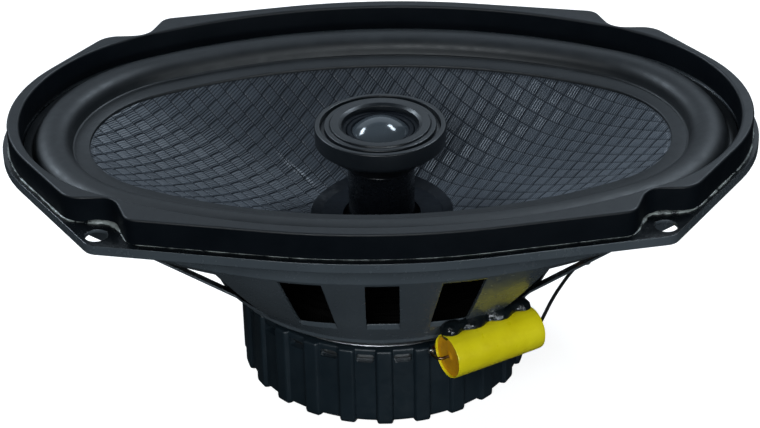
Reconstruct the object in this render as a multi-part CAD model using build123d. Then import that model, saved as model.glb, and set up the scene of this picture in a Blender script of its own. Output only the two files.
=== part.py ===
from build123d import *
import math
import os

# Coaxial 6x9 car speaker.  Millimetres.  The origin is the centre of the mounting flange,
# on its top face.  +X is the long axis and +Z points out of the front of the speaker.

# Mounting flange, stamped with the basket
SHEET = 1.2
FLANGE_END = 117.5
FLANGE_SIDE = 79.4
FLANGE_END_RADIUS = 54.0
FLANGE_LIP_DEPTH = 3.0
CORNER_RADIUS = 5.0
CHAMFER_ANGLE = 33.7
SIDE_SLOPE = 10.85
SIDE_RADIUS = 172.2
HOLE_X = 82.0
HOLE_Y = 61.0
HOLE_RADIUS = 3.4

# Gasket ring on the flange
GASKET_HEIGHT = 8.4
GASKET_INSET = 2.2
GASKET_OPENING = (111.6, 72.7, 59.0)
NOTCH_FLOOR_Y = 53.5
NOTCH_STEP_X = 77.2
NOTCH_STEP_RUN = 4.5

# Basket below the flange
TUB = (105.8, 70.3, 53.0)
TUB_BOTTOM_Z = -12.5
FLOOR_RADIUS = 52.0
FLOOR_Z = -44.0
CUP_RADIUS = 41.2
PLATE_TOP_Z = -52.5
RIM_BAND = 1.5
WINDOW_BOTTOM_RADIUS = 54.5
ARM_HALF_WIDTH = 11.0
RAIL_INNER_Y = 24.5
RAIL_OUTER_Y = 30.0
PANEL_EDGE_ANGLE = 51.0
SLOT_BOTTOM_RADIUS = 55.6

# Surround and cone; the surround sits on a ledge pressed below the flange's top face
SEAT_DEPTH = 1.8
LEDGE = (112.6, 73.7, 60.0)
ROLL_PATH = (102.0, 62.0, 50.0)
ROLL_HALF_WIDTH = 5.75
ROLL_HEIGHT = 5.5
ROLL_THICKNESS = 0.9
LIP_OUTER = (111.2, 72.3, 58.6)
RING_INNER = (90.7, 48.7, 34.0)
RING_THICKNESS = 1.0
CONE_TOP_Z = -SEAT_DEPTH - RING_THICKNESS
CONE_NECK_RADIUS = 19.4
CONE_NECK_Z = -31.0
CONE_THICKNESS = 1.0
COLLAR_WIDTH = 3.2
COLLAR_THICKNESS = 0.7
COLLAR_HOLE_RADIUS = 12.4
FORMER_TOP_Z = -30.6

# Spider
SPIDER_OUTER = 49.5
SPIDER_WAVE = (22.0, 43.0)
SPIDER_ROLLS = 6
SPIDER_HEIGHT = 1.2
SPIDER_THICKNESS = 0.4

# Motor
TOP_PLATE_RADIUS = 42.3
TOP_PLATE_THICKNESS = 6.0
MAGNET_THICKNESS = 14.0
BACK_PLATE_THICKNESS = 6.0
POLE_RADIUS = 18.0
POLE_BORE = 4.95
SHORTING_THICKNESS = 0.3
GAP_RADIUS = 19.75
FORMER_INNER = 18.6
FORMER_OUTER = 18.85
WINDING_OUTER = 19.35

# Rubber boot
BOOT_INNER = 42.6
BOOT_PANEL = 44.9
BOOT_RIB = 46.2
BOOT_FLOOR = 1.5
RIB_COUNT = 24
RIB_WIDTH = 5.2
BOOT_WINDOW = (5.8, 2.9)
BOOT_WINDOW_DEPTH = 3.3

# Tweeter
CUP_RIM_RADIUS = 20.6
CUP_RIM_Z = 2.2
CUP_SKIRT_Z = -3.8
CUP_BOTTOM_Z = -11.5
STEM_RADIUS = 10.5
STEM_COLLAR_RADIUS = 12.3
STEM_COLLAR_Z = -36.8
DOME_RADIUS = 8.8
DOME_HEIGHT = 4.0

# Capacitor and wiring
CAPACITOR_RADIUS = 7.0
CAPACITOR_LENGTH = 31.0
CAPACITOR_CENTRE = (32.4, -49.2, -47.0)
CAPACITOR_ANGLE = 30.2
GLUE_RADIUS = 3.3
GLUE_LENGTH = 25.0
WIRE_DIAMETER = 1.1
WIRE_SPACING = 0.75
CHANNEL_ANGLE = -60.0
CHANNEL_RADIUS = 43.5

# Terminal board, on the outer face of the arm at +X
BOARD_X = 75.0
BOARD_LENGTH = 24.0
BOARD_WIDTH = 34.0
BOARD_THICKNESS = 1.6
TERMINAL_THICKNESS = 0.8
TERMINAL_Y = 13.5

PLATE_BOTTOM_Z = PLATE_TOP_Z - TOP_PLATE_THICKNESS
MAGNET_BOTTOM_Z = PLATE_BOTTOM_Z - MAGNET_THICKNESS
YOKE_BOTTOM_Z = MAGNET_BOTTOM_Z - BACK_PLATE_THICKNESS
BOOT_BOTTOM_Z = YOKE_BOTTOM_Z - BOOT_FLOOR


# ---------- shared shapes ----------

def four_arcs(a, b, end_radius):
    """Edges of an oval of half-length a and half-width b, made of four tangent arcs."""
    if a == b:
        return [CenterArc((0, 0), a, start, 90) for start in (-45, 45, 135, 225)]
    side_radius = (a * a - 2 * a * end_radius + b * b) / (2 * (b - end_radius))
    turn = math.degrees(math.atan2(side_radius - b, a - end_radius))
    return [
        CenterArc((a - end_radius, 0), end_radius, -turn, 2 * turn),
        CenterArc((0, b - side_radius), side_radius, turn, 180 - 2 * turn),
        CenterArc((end_radius - a, 0), end_radius, 180 - turn, 2 * turn),
        CenterArc((0, side_radius - b), side_radius, 180 + turn, 180 - 2 * turn),
    ]


def oval(a, b, end_radius=0.0, z=0.0):
    return Pos(0, 0, z) * make_face(four_arcs(a, b, end_radius))


def grown(size, amount):
    """The same oval, moved outwards by amount."""
    return (size[0] + amount, size[1] + amount, size[2] + amount)


def slab(face, z_low, z_high):
    """A flat face in the XY plane made into a plate between two heights."""
    return extrude(Pos(0, 0, z_low) * face, amount=z_high - z_low, dir=(0, 0, 1))


def disc(radius, z_low, z_high, hole=0.0):
    body = Pos(0, 0, z_low) * Cylinder(radius, z_high - z_low, align=(Align.CENTER, Align.CENTER, Align.MIN))
    if hole > 0:
        body -= Pos(0, 0, z_low) * Cylinder(hole, z_high - z_low, align=(Align.CENTER, Align.CENTER, Align.MIN))
    return body


def turned(points):
    """A body of revolution about Z from its (radius, z) section."""
    section = Plane.XZ * make_face(Polyline(*points, close=True))
    return revolve(section, Axis.Z)


def mirrored_outline(edges):
    """A closed face from the edges of its +X, +Y quarter."""
    half = edges + [mirror(edge, Plane.YZ) for edge in edges]
    return make_face(half + [mirror(edge, Plane.XZ) for edge in half])


def rounded_corners(face, corners, radius):
    """Rounds the four mirrored copies of each listed quarter corner."""
    picked = []
    for vertex in face.vertices():
        for x, y in corners:
            if abs(abs(vertex.X) - x) < 0.01 and abs(abs(vertex.Y) - y) < 0.01:
                picked.append(vertex)
    return fillet(picked, radius)


def crossing(start, angle, y):
    """Where a line from start, leaning back by angle from +Y, reaches the height y."""
    return (start[0] - (y - start[1]) * math.tan(math.radians(angle)), y)


def wire(points, diameter, name, tight_corners=0, tight_radius=3.3):
    """A round wire along straight runs joined by large arcs, but small ones at its first few corners."""
    points = [Vector(*p) for p in points]
    radii = []
    for before, here, after in zip(points, points[1:], points[2:]):
        shorter = min((here - before).length, (after - here).length)
        half_turn = math.radians((here - before).get_angle(after - here)) / 2
        radii.append(0.45 * shorter / math.tan(half_turn))
    for i in range(tight_corners):
        radii[i] = min(radii[i], tight_radius)
    path = FilletPolyline(*points, radius=radii)
    section = Plane(path @ 0, z_dir=path % 0) * Circle(diameter / 2)
    body = sweep(section, path=path)
    area = math.pi * diameter ** 2 / 4
    print(name, "radii", [round(radius, 1) for radius in radii], "length", round(path.length, 2),
          "volume error", round(body.volume / (area * path.length) - 1, 5))
    return body


# ---------- basket ----------

def flange_outline():
    end = CenterArc((FLANGE_END - FLANGE_END_RADIUS, 0), FLANGE_END_RADIUS, 0, CHAMFER_ANGLE)
    side = CenterArc((0, FLANGE_SIDE - SIDE_RADIUS), SIDE_RADIUS, 90 - SIDE_SLOPE, SIDE_SLOPE)
    chamfer_start = end @ 1
    side_end = side @ 0
    slope = math.tan(math.radians(SIDE_SLOPE))
    lean = math.tan(math.radians(CHAMFER_ANGLE))
    # the straight chamfer and the straight shoulder of the long side meet at the corner
    rise = (side_end.Y + slope * (side_end.X - chamfer_start.X) - chamfer_start.Y) / (1 - slope * lean)
    corner = crossing((chamfer_start.X, chamfer_start.Y), CHAMFER_ANGLE, chamfer_start.Y + rise)
    edges = [end, Line(chamfer_start, corner), Line(corner, side_end), side]
    return rounded_corners(mirrored_outline(edges), [corner], CORNER_RADIUS)


def skirt_plug(drop):
    """The solid between the tub's bottom and the floor, lowered and narrowed by the sheet."""
    top = oval(*grown(TUB, -drop), z=TUB_BOTTOM_Z)
    bottom = oval(FLOOR_RADIUS - drop, FLOOR_RADIUS - drop, z=FLOOR_Z)
    return loft([top, bottom], ruled=True)


def wedge(points):
    return make_face(Polyline(*points, close=True))


def window_faces():
    """The skirt's openings in plan: four beside the arms, four beside the rails, six slots."""
    band = oval(*grown(TUB, -RIM_BAND)) - Circle(WINDOW_BOTTOM_RADIUS)
    slot_band = oval(*grown(TUB, -0.8)) - Circle(SLOT_BOTTOM_RADIUS)
    edge = math.radians(PANEL_EDGE_ANGLE)
    far = (130 * math.cos(edge), 130 * math.sin(edge))
    near = (RAIL_OUTER_Y / math.tan(edge), RAIL_OUTER_Y)
    quarter = [
        (band, wedge([(40, ARM_HALF_WIDTH), (120, ARM_HALF_WIDTH), (120, RAIL_INNER_Y), (40, RAIL_INNER_Y)])),
        (band, wedge([near, (120, RAIL_OUTER_Y), (120, 100), far])),
        (slot_band, wedge([(12.2, 48), (22.8, 44), (32.4, 72), (19.4, 75)])),
    ]
    faces = []
    for region, shape in quarter:
        piece = region & shape
        faces += [piece, mirror(piece, Plane.YZ), mirror(piece, Plane.XZ),
                  mirror(mirror(piece, Plane.YZ), Plane.XZ)]
    for side in (-1, 1):
        faces.append(slot_band & (Pos(0, side * 65) * Rectangle(10, 40)))
    return faces


def make_basket():
    outline = flange_outline()
    inner = offset(outline, amount=-SHEET, kind=Kind.INTERSECTION)
    tub_inner = oval(*grown(TUB, -SHEET))
    ledge = oval(*LEDGE)
    ledge_wall = oval(*grown(LEDGE, SHEET))
    body = slab(outline - ledge, -SHEET, 0)
    body += slab(outline - inner, -FLANGE_LIP_DEPTH, -SHEET)
    body += slab(ledge_wall - ledge, -SEAT_DEPTH, -SHEET)
    body += slab(ledge_wall - tub_inner, -SEAT_DEPTH - SHEET, -SEAT_DEPTH)
    body += slab(oval(*TUB) - tub_inner, TUB_BOTTOM_Z, -SEAT_DEPTH - SHEET)
    skirt = skirt_plug(0) - skirt_plug(SHEET)
    for face in window_faces():
        skirt -= slab(Sketch() + face, FLOOR_Z - 2, TUB_BOTTOM_Z - 0.6)
    body += skirt
    body += disc(FLOOR_RADIUS, FLOOR_Z - SHEET, FLOOR_Z, CUP_RADIUS - SHEET)
    body += disc(CUP_RADIUS, PLATE_TOP_Z, FLOOR_Z - SHEET, CUP_RADIUS - SHEET)
    body += disc(CUP_RADIUS, PLATE_TOP_Z, PLATE_TOP_Z + SHEET, GAP_RADIUS + 3)
    for x in (-HOLE_X, HOLE_X):
        for y in (-HOLE_Y, HOLE_Y):
            body -= Pos(x, y, -SHEET / 2) * Cylinder(HOLE_RADIUS, 4 * SHEET)
    for place in rivet_places():
        body -= place * Cylinder(1.6, 4 * SHEET)
    for u in (-8, 8):
        body -= board_frame() * Pos(u, 0, -SHEET) * Cylinder(1.5, 6)
    return body


def rivet_places():
    return [Pos(31 * math.cos(a), 31 * math.sin(a), PLATE_TOP_Z + SHEET / 2)
            for a in (math.radians(45 + 90 * i) for i in range(4))]


def make_basket_rivets():
    rivet = turned([(0, -4), (1.6, -4), (1.6, SHEET / 2), (2.8, SHEET / 2), (2.2, SHEET / 2 + 1.0),
                    (0, SHEET / 2 + 1.3)])
    return Compound(children=[place * rivet for place in rivet_places()])


# ---------- gasket, surround, cone ----------

def gasket_outline():
    end_radius = FLANGE_END_RADIUS + 1.0
    length = FLANGE_END - GASKET_INSET + 0.2
    width = FLANGE_SIDE - GASKET_INSET
    end = CenterArc((length - end_radius, 0), end_radius, 0, CHAMFER_ANGLE)
    side_radius = SIDE_RADIUS - GASKET_INSET
    side = CenterArc((0, width - side_radius), side_radius, 90 - SIDE_SLOPE, SIDE_SLOPE)
    shoulder = crossing(tuple(end @ 1)[:2], CHAMFER_ANGLE, NOTCH_FLOOR_Y)
    notch = (NOTCH_STEP_X, NOTCH_FLOOR_Y)
    step_x = NOTCH_STEP_X - NOTCH_STEP_RUN
    step = (step_x, (side @ 0).Y - math.tan(math.radians(SIDE_SLOPE)) * (step_x - (side @ 0).X))
    edges = [end, Line(end @ 1, shoulder), Line(shoulder, notch), Line(notch, step),
             Line(step, side @ 0), side]
    face = rounded_corners(mirrored_outline(edges), [shoulder], 8.0)
    face = rounded_corners(face, [notch], 6.0)
    return rounded_corners(face, [step], 4.5)


def make_gasket_ring():
    ring = slab(gasket_outline() - oval(*GASKET_OPENING), 0, GASKET_HEIGHT)
    ring = fillet(ring.faces().sort_by(Axis.Z)[-1].outer_wire().edges(), 0.5)
    return chamfer(ring.faces().sort_by(Axis.Z)[-1].inner_wires()[0].edges(), 0.5)


def make_surround():
    path = Wire(four_arcs(*ROLL_PATH))
    half = ROLL_HALF_WIDTH
    inner_half = half - ROLL_THICKNESS
    inner_height = ROLL_HEIGHT - ROLL_THICKNESS
    section = make_face([
        ThreePointArc((-half, 0), (0, ROLL_HEIGHT), (half, 0)),
        Line((half, 0), (inner_half, 0)),
        ThreePointArc((inner_half, 0), (0, inner_height), (-inner_half, 0)),
        Line((-inner_half, 0), (-half, 0)),
    ])
    start = path.position_at(0)
    tangent = path.tangent_at(0)
    plane = Plane(start, x_dir=tangent.cross(Vector(0, 0, 1)), z_dir=tangent)
    if plane.y_dir.Z < 0:
        section = Rot(0, 0, 180) * section
    roll = sweep(plane * section, path=path)
    outer_foot = grown(ROLL_PATH, half - 0.3)
    inner_foot = grown(ROLL_PATH, 0.3 - half)
    lip = slab(oval(*LIP_OUTER) - oval(*outer_foot), 0, ROLL_THICKNESS)
    ring = slab(oval(*inner_foot) - oval(*RING_INNER), -RING_THICKNESS, 0)
    ring += slab(oval(*grown(ROLL_PATH, -half + 1.1)) - oval(*grown(ROLL_PATH, -half - 0.6)), -RING_THICKNESS, 0.2)
    return Pos(0, 0, -SEAT_DEPTH) * (roll + lip + ring)


def cone_plug(shift):
    top = oval(*RING_INNER, z=CONE_TOP_Z + shift)
    bottom = oval(CONE_NECK_RADIUS, CONE_NECK_RADIUS, z=CONE_NECK_Z + shift)
    return loft([top, bottom], ruled=True)


def make_cone():
    skin = cone_plug(-CONE_THICKNESS) - cone_plug(0)
    skin -= disc(FORMER_OUTER, CONE_NECK_Z - 2, CONE_NECK_Z + 1)
    rim_outer = grown(ROLL_PATH, -ROLL_HALF_WIDTH - 1.2)
    rim = slab(oval(*rim_outer), CONE_TOP_Z - CONE_THICKNESS, CONE_TOP_Z) - cone_plug(0)
    neck = disc(CONE_NECK_RADIUS, CONE_NECK_Z - 3.2, CONE_NECK_Z - CONE_THICKNESS, FORMER_OUTER)
    return skin + rim + neck


def make_neck_ring():
    """The smooth collar over the joint of cone and former, closed in to a hole round the tweeter's stem."""
    reach = disc(CONE_NECK_RADIUS + COLLAR_WIDTH, CONE_NECK_Z - 1, CONE_NECK_Z + 9)
    collar = (cone_plug(0) - cone_plug(COLLAR_THICKNESS)) & reach
    collar -= disc(FORMER_OUTER, CONE_NECK_Z - 1, CONE_NECK_Z + 2)
    return collar + disc(CONE_NECK_RADIUS - 0.1, FORMER_TOP_Z, FORMER_TOP_Z + 0.8, COLLAR_HOLE_RADIUS)


def make_spider():
    """A corrugated cloth disc: inner collar, rolls of a cosine wave, flat outer landing."""
    inner = FORMER_OUTER
    start, end = SPIDER_WAVE
    steps = 8
    top = []
    for i in range(SPIDER_ROLLS * steps + 1):
        radius = start + (end - start) * i / (SPIDER_ROLLS * steps)
        lift = SPIDER_HEIGHT * (1 - math.cos(2 * math.pi * i / steps)) / 2
        top.append((radius, FLOOR_Z + SPIDER_THICKNESS + lift))
    bottom = [(radius, z - SPIDER_THICKNESS) for radius, z in reversed(top)]
    upper = [(inner, FLOOR_Z + SPIDER_THICKNESS)] + top + [(SPIDER_OUTER, FLOOR_Z + SPIDER_THICKNESS)]
    return turned(upper + [(SPIDER_OUTER, FLOOR_Z)] + bottom + [(inner, FLOOR_Z)])


def make_former():
    return disc(FORMER_OUTER, -62.0, FORMER_TOP_Z, FORMER_INNER)


def make_winding():
    return disc(WINDING_OUTER, -61.0, -50.0, FORMER_OUTER)


# ---------- motor ----------

def make_top_plate():
    plate = disc(TOP_PLATE_RADIUS, PLATE_BOTTOM_Z, PLATE_TOP_Z, GAP_RADIUS)
    for place in rivet_places():
        plate -= place * Cylinder(1.6, 8)
    return plate


def make_magnet():
    return disc(TOP_PLATE_RADIUS, MAGNET_BOTTOM_Z, PLATE_BOTTOM_Z, POLE_RADIUS + 7)


def wire_groove():
    """The radial groove that the tweeter wires leave by, under the back plate."""
    length = TOP_PLATE_RADIUS + 1
    depth = 3.4
    slot = Pos(length / 2, 0, YOKE_BOTTOM_Z + depth / 2) * Box(length, 3.4, depth)
    return Rot(0, 0, CHANNEL_ANGLE) * slot


def make_yoke():
    body = disc(TOP_PLATE_RADIUS, YOKE_BOTTOM_Z, MAGNET_BOTTOM_Z)
    body += disc(POLE_RADIUS, MAGNET_BOTTOM_Z, PLATE_TOP_Z)
    body -= disc(POLE_BORE, YOKE_BOTTOM_Z, PLATE_TOP_Z)
    body -= disc(8.2, YOKE_BOTTOM_Z, YOKE_BOTTOM_Z + 8.5)
    return body - wire_groove()


def make_shorting_ring():
    return disc(POLE_RADIUS + SHORTING_THICKNESS, PLATE_BOTTOM_Z - 6, PLATE_TOP_Z, POLE_RADIUS)


def make_boot():
    """The ribbed rubber cover over the magnet, with a small window between each two ribs."""
    top = PLATE_TOP_Z
    body = disc(BOOT_PANEL, BOOT_BOTTOM_Z + 2.2, top)
    body += turned([(0, BOOT_BOTTOM_Z), (BOOT_PANEL - 2.2, BOOT_BOTTOM_Z),
                    (BOOT_PANEL, BOOT_BOTTOM_Z + 2.2), (0, BOOT_BOTTOM_Z + 2.2)])
    rib = Box(BOOT_RIB - 38, RIB_WIDTH, top - BOOT_BOTTOM_Z, align=(Align.MIN, Align.CENTER, Align.MIN))
    rib = chamfer(rib.faces().sort_by(Axis.X)[-1].edges().filter_by(Axis.Z), 0.6)
    rib = chamfer(rib.edges().filter_by(Axis.Y).sort_by(lambda e: e.center().X - e.center().Z)[-1], 1.2)
    for i in range(RIB_COUNT):
        body += Rot(0, 0, i * 360 / RIB_COUNT) * Pos(38, 0, BOOT_BOTTOM_Z) * rib
    body -= disc(BOOT_INNER, BOOT_BOTTOM_Z + BOOT_FLOOR, top)
    body -= disc(11.0, BOOT_BOTTOM_Z, BOOT_BOTTOM_Z + BOOT_FLOOR)
    window = Pos(BOOT_INNER, 0, top - BOOT_WINDOW_DEPTH) * Box(8, *BOOT_WINDOW)
    for i in range(RIB_COUNT):
        body -= Rot(0, 0, (i + 0.5) * 360 / RIB_COUNT) * window
    channel = Box(2.4, 3.0, top - BOOT_BOTTOM_Z, align=(Align.MIN, Align.CENTER, Align.MIN))
    return body - Rot(0, 0, CHANNEL_ANGLE) * Pos(42, 0, BOOT_BOTTOM_Z + BOOT_FLOOR) * channel


# ---------- tweeter ----------

def make_stem():
    spigot_end = YOKE_BOTTOM_Z + 3.5
    top = CUP_BOTTOM_Z
    body = disc(STEM_RADIUS, STEM_COLLAR_Z, top)
    body += turned([(0, PLATE_TOP_Z), (STEM_COLLAR_RADIUS, PLATE_TOP_Z),
                    (STEM_COLLAR_RADIUS, STEM_COLLAR_Z - 0.8), (STEM_COLLAR_RADIUS - 0.8, STEM_COLLAR_Z),
                    (0, STEM_COLLAR_Z)])
    body += disc(STEM_RADIUS + 0.5, top - 0.9, top)
    body += disc(POLE_BORE - 0.05, spigot_end, PLATE_TOP_Z)
    return body - disc(3.0, spigot_end, top)


def make_lock_nut():
    nut = slab(RegularPolygon(7.6, 6), YOKE_BOTTOM_Z + 4.2, YOKE_BOTTOM_Z + 7.4)
    return nut - disc(POLE_BORE - 0.05, YOKE_BOTTOM_Z, YOKE_BOTTOM_Z + 10)


def make_washer():
    return disc(7.8, YOKE_BOTTOM_Z + 7.4, YOKE_BOTTOM_Z + 8.5, POLE_BORE - 0.05)


def make_tweeter_cup():
    body = turned([(0, CUP_BOTTOM_Z), (11.0, CUP_BOTTOM_Z), (12.6, CUP_BOTTOM_Z + 1.6), (18.9, CUP_SKIRT_Z - 1.0),
                   (18.9, CUP_SKIRT_Z), (CUP_RIM_RADIUS, CUP_SKIRT_Z), (CUP_RIM_RADIUS, CUP_RIM_Z - 0.4),
                   (CUP_RIM_RADIUS - 0.4, CUP_RIM_Z), (18.9, CUP_RIM_Z), (18.9, -0.3), (0, -0.3)])
    body -= disc(12.0, -9.0, 0)
    return body - disc(3.0, CUP_BOTTOM_Z, -9.0)


def make_trim_ring():
    return turned([(16.5, -0.3), (18.8, -0.3), (18.8, 0.6), (17.6, 0.6), (17.6, 1.8), (17.2, 2.2),
                   (16.1, 2.2), (15.7, 2.7), (13.2, 2.7), (12.5, 2.5), (12.1, 2.0), (12.0, 0.5), (16.5, 0.5)])


def make_clamp_ring():
    return disc(16.3, 0, 0.5, 10.9)


def make_suspension():
    """The thin half-roll between the dome and the clamp ring."""
    section = make_face([
        Line((DOME_RADIUS - 0.2, -0.3), (DOME_RADIUS - 0.2, -0.15)),
        Line((DOME_RADIUS - 0.2, -0.15), (9.0, -0.15)),
        ThreePointArc((9.0, -0.15), (9.85, 0.55), (10.7, -0.15)),
        Line((10.7, -0.15), (10.7, 0)),
        Line((10.7, 0), (16.3, 0)),
        Line((16.3, 0), (16.3, -0.3)),
        Line((16.3, -0.3), (10.55, -0.3)),
        ThreePointArc((10.55, -0.3), (9.85, 0.4), (9.15, -0.3)),
        Line((9.15, -0.3), (DOME_RADIUS - 0.2, -0.3)),
    ])
    return revolve(Plane.XZ * section, Axis.Z)


def make_dome():
    sphere_radius = (DOME_RADIUS ** 2 + DOME_HEIGHT ** 2) / (2 * DOME_HEIGHT)
    centre = DOME_HEIGHT - sphere_radius - 0.15
    shell = Pos(0, 0, centre) * (Sphere(sphere_radius) - Sphere(sphere_radius - 0.25))
    return shell & disc(DOME_RADIUS + 1, -0.15, DOME_HEIGHT + 1)


def make_tweeter_former():
    return disc(8.6, -4.6, -0.3, 8.5) + disc(8.75, -0.3, -0.15, 8.5) - make_suspension()


def make_tweeter_winding():
    return disc(8.9, -4.2, -1.3, 8.6)


def make_pole_plate():
    return disc(8.15, -3.4, -1.9)


def make_tweeter_magnet():
    return disc(7.6, -7.0, -3.4)


def make_tweeter_pot():
    return disc(11.9, -9.0, -1.6) - disc(9.3, -7.0, -1.6)


def make_damping_pad():
    return disc(5.5, -1.9, -0.6)


# ---------- capacitor and its glue ----------

def capacitor_frame():
    return Pos(*CAPACITOR_CENTRE) * Rot(0, 0, CAPACITOR_ANGLE) * Rot(0, 90, 0)


def make_capacitor():
    body = Cylinder(CAPACITOR_RADIUS, CAPACITOR_LENGTH)
    body -= Pos(0, 0, CAPACITOR_LENGTH / 2) * Cylinder(CAPACITOR_RADIUS - 0.5, 1.2)
    body -= Pos(0, 0, -CAPACITOR_LENGTH / 2) * Cylinder(CAPACITOR_RADIUS - 0.5, 1.2)
    return capacitor_frame() * body


def capacitor_point(along, inward=0.0, up=0.0):
    """A point measured along the capacitor, towards the speaker's axis and up."""
    angle = math.radians(CAPACITOR_ANGLE)
    x, y, z = CAPACITOR_CENTRE
    return (x + along * math.cos(angle) - inward * math.sin(angle),
            y + along * math.sin(angle) + inward * math.cos(angle), z + up)


def make_glue():
    """The bead that holds the capacitor to the basket."""
    inward, up = 3.5, 6.5
    centre = Pos(*capacitor_point(0, inward, up)) * Rot(0, 0, CAPACITOR_ANGLE) * Rot(0, 90, 0)
    bead = centre * Cylinder(GLUE_RADIUS, GLUE_LENGTH)
    for along in (-GLUE_LENGTH / 2, GLUE_LENGTH / 2):
        bead += Pos(*capacitor_point(along, inward, up)) * Sphere(GLUE_RADIUS)
    return bead - make_capacitor() - skirt_plug(0) - disc(FLOOR_RADIUS, -60, FLOOR_Z)


# ---------- terminal board and wiring ----------

def board_frame():
    """Location on the outer face of the +X arm: local x up the slope, local z out of it."""
    drop = TUB_BOTTOM_Z - FLOOR_Z
    run = TUB[0] - FLOOR_RADIUS
    z = TUB_BOTTOM_Z - drop * (TUB[0] - BOARD_X) / run
    slope = math.atan2(drop, run)
    outward = Vector(math.sin(slope), 0, -math.cos(slope))
    upslope = Vector(math.cos(slope), 0, math.sin(slope))
    return Plane((BOARD_X, 0, z), x_dir=upslope, z_dir=outward).location


def board_point(u, v, w):
    """A point by its distances up the slope, across it towards +Y and out of the board."""
    place = (board_frame() * Pos(u, -v, w)).position
    return (place.X, place.Y, place.Z)


def make_terminal_board():
    plate = Pos(0, 0, BOARD_THICKNESS / 2) * Box(BOARD_LENGTH, BOARD_WIDTH, BOARD_THICKNESS)
    plate = fillet(plate.edges().filter_by(Axis.Z), 2)
    for u in (-8, 8):
        plate -= Pos(u, 0, 0) * Cylinder(1.5, 8)
    for v in (-TERMINAL_Y, TERMINAL_Y):
        plate -= Pos(0, v, 0) * Cylinder(1.2, 8)
    return board_frame() * plate


def make_terminal(side, width):
    blade = Pos(2.5, 0, TERMINAL_THICKNESS / 2) * Box(35, width, TERMINAL_THICKNESS)
    blade = chamfer(blade.faces().sort_by(Axis.X)[-1].edges().filter_by(Axis.Z), 1.2)
    blade -= Cylinder(1.2, 8)
    blade -= Pos(15.5, 0, 0) * Cylinder(0.9, 8)
    return board_frame() * Pos(0, -side * TERMINAL_Y, BOARD_THICKNESS) * blade


def headed_rivet(radius, low, high):
    """A rivet along Z that grips from low to high, with a head at each end."""
    head = 0.9
    return turned([(0, low - head), (radius * 1.2, low - head), (radius * 1.8, low), (radius, low),
                   (radius, high), (radius * 1.8, high), (radius * 1.2, high + head), (0, high + head)])


def make_terminal_rivets():
    rivets = []
    for u in (-8, 8):
        rivets.append(board_frame() * Pos(u, 0, 0) * headed_rivet(1.5, -SHEET, BOARD_THICKNESS))
    for v in (-TERMINAL_Y, TERMINAL_Y):
        rivet = headed_rivet(1.2, 0, BOARD_THICKNESS + TERMINAL_THICKNESS)
        rivets.append(board_frame() * Pos(0, v, 0) * rivet)
    return Compound(children=rivets)


def channel_point(outward, across, z):
    """A point by its distance out along the wire channel, across it and its height."""
    angle = math.radians(CHANNEL_ANGLE)
    return (outward * math.cos(angle) - across * math.sin(angle),
            outward * math.sin(angle) + across * math.cos(angle), z)


def tweeter_wire_start(across):
    """From the tweeter's pot down the stem, under the back plate and up inside the boot."""
    turn_z = YOKE_BOTTOM_Z + 1.2
    return [channel_point(0, across, -9.0), channel_point(0, across, turn_z),
            channel_point(CHANNEL_RADIUS, across, turn_z)]


def make_tweeter_wire_positive():
    """Ends on the capacitor's inner lead."""
    points = tweeter_wire_start(-WIRE_SPACING)
    points += [channel_point(CHANNEL_RADIUS, -WIRE_SPACING, -49.0), capacitor_point(-16.0, 8.3, -2.3)]
    return wire(points, WIRE_DIAMETER, "tweeter_wire_positive", tight_corners=3)


def lead_joint():
    return capacitor_point(-16.6, 7.5, -2.2)


def make_tweeter_wire_negative():
    """Runs on behind the capacitor to the negative terminal."""
    points = tweeter_wire_start(WIRE_SPACING)
    points += [channel_point(CHANNEL_RADIUS, WIRE_SPACING, -49.4), (33.6, -33.4, -48.6), (42.6, -25.6, -47.4),
               (50.6, -15.0, -45.6), (56.4, -3.0, -44.2), (60.5, 7.5, -42.4)]
    points.append(board_point(-13.6, TERMINAL_Y - 2.4, TERMINAL_THICKNESS + BOARD_THICKNESS + 0.2))
    return wire(points, WIRE_DIAMETER, "tweeter_wire_negative", tight_corners=3)


def make_capacitor_lead_inner():
    """The bare lead that curls back behind the capacitor to the tweeter's wire."""
    end = -CAPACITOR_LENGTH / 2 + 0.6
    points = [capacitor_point(end), capacitor_point(-18.2), capacitor_point(-18.4, 4.4, -0.8), lead_joint()]
    return wire(points, 0.9, "capacitor_lead_inner")


def make_capacitor_lead_outer():
    """The sleeved lead that runs up under the rail to the positive terminal."""
    end = CAPACITOR_LENGTH / 2 - 0.6
    points = [capacitor_point(end), capacitor_point(18.0), (52.6, -32.6, -41.9), (57.6, -25.2, -39.1),
              (61.2, -19.6, -38.5)]
    points.append(board_point(-13.6, -TERMINAL_Y - 3.15, BOARD_THICKNESS + TERMINAL_THICKNESS / 2))
    return wire(points, WIRE_DIAMETER, "capacitor_lead_outer")


def eyelet_place(side):
    """Where a tinsel lead passes through the cone."""
    return (40.5, side * 12.2, -23.0)


def make_cone_eyelets():
    """Short tubes under the cone that the tinsel leads enter."""
    rings = []
    for side in (-1, 1):
        x, y, z = eyelet_place(side)
        post = Pos(x, y, 0) * disc(1.6, z - 4, z + 6, 0.7)
        boss = post & (cone_plug(-CONE_THICKNESS - 1.2) - cone_plug(-CONE_THICKNESS))
        rings.append(boss.solids()[0])
    return Compound(children=rings)


def make_tinsel_lead(side):
    """The braided lead from a terminal, in through the opening by the arm, to the cone."""
    x, y, z = eyelet_place(side)
    start = board_point(-15.6, side * (TERMINAL_Y + 1.0), BOARD_THICKNESS - 0.2)
    points = [start, (58.2, side * 15.0, -34.6), (51.4, side * 14.6, -32.4), (45.0, side * 13.4, -29.6), (x, y, z)]
    return wire(points, 0.9, "tinsel_lead")


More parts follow.
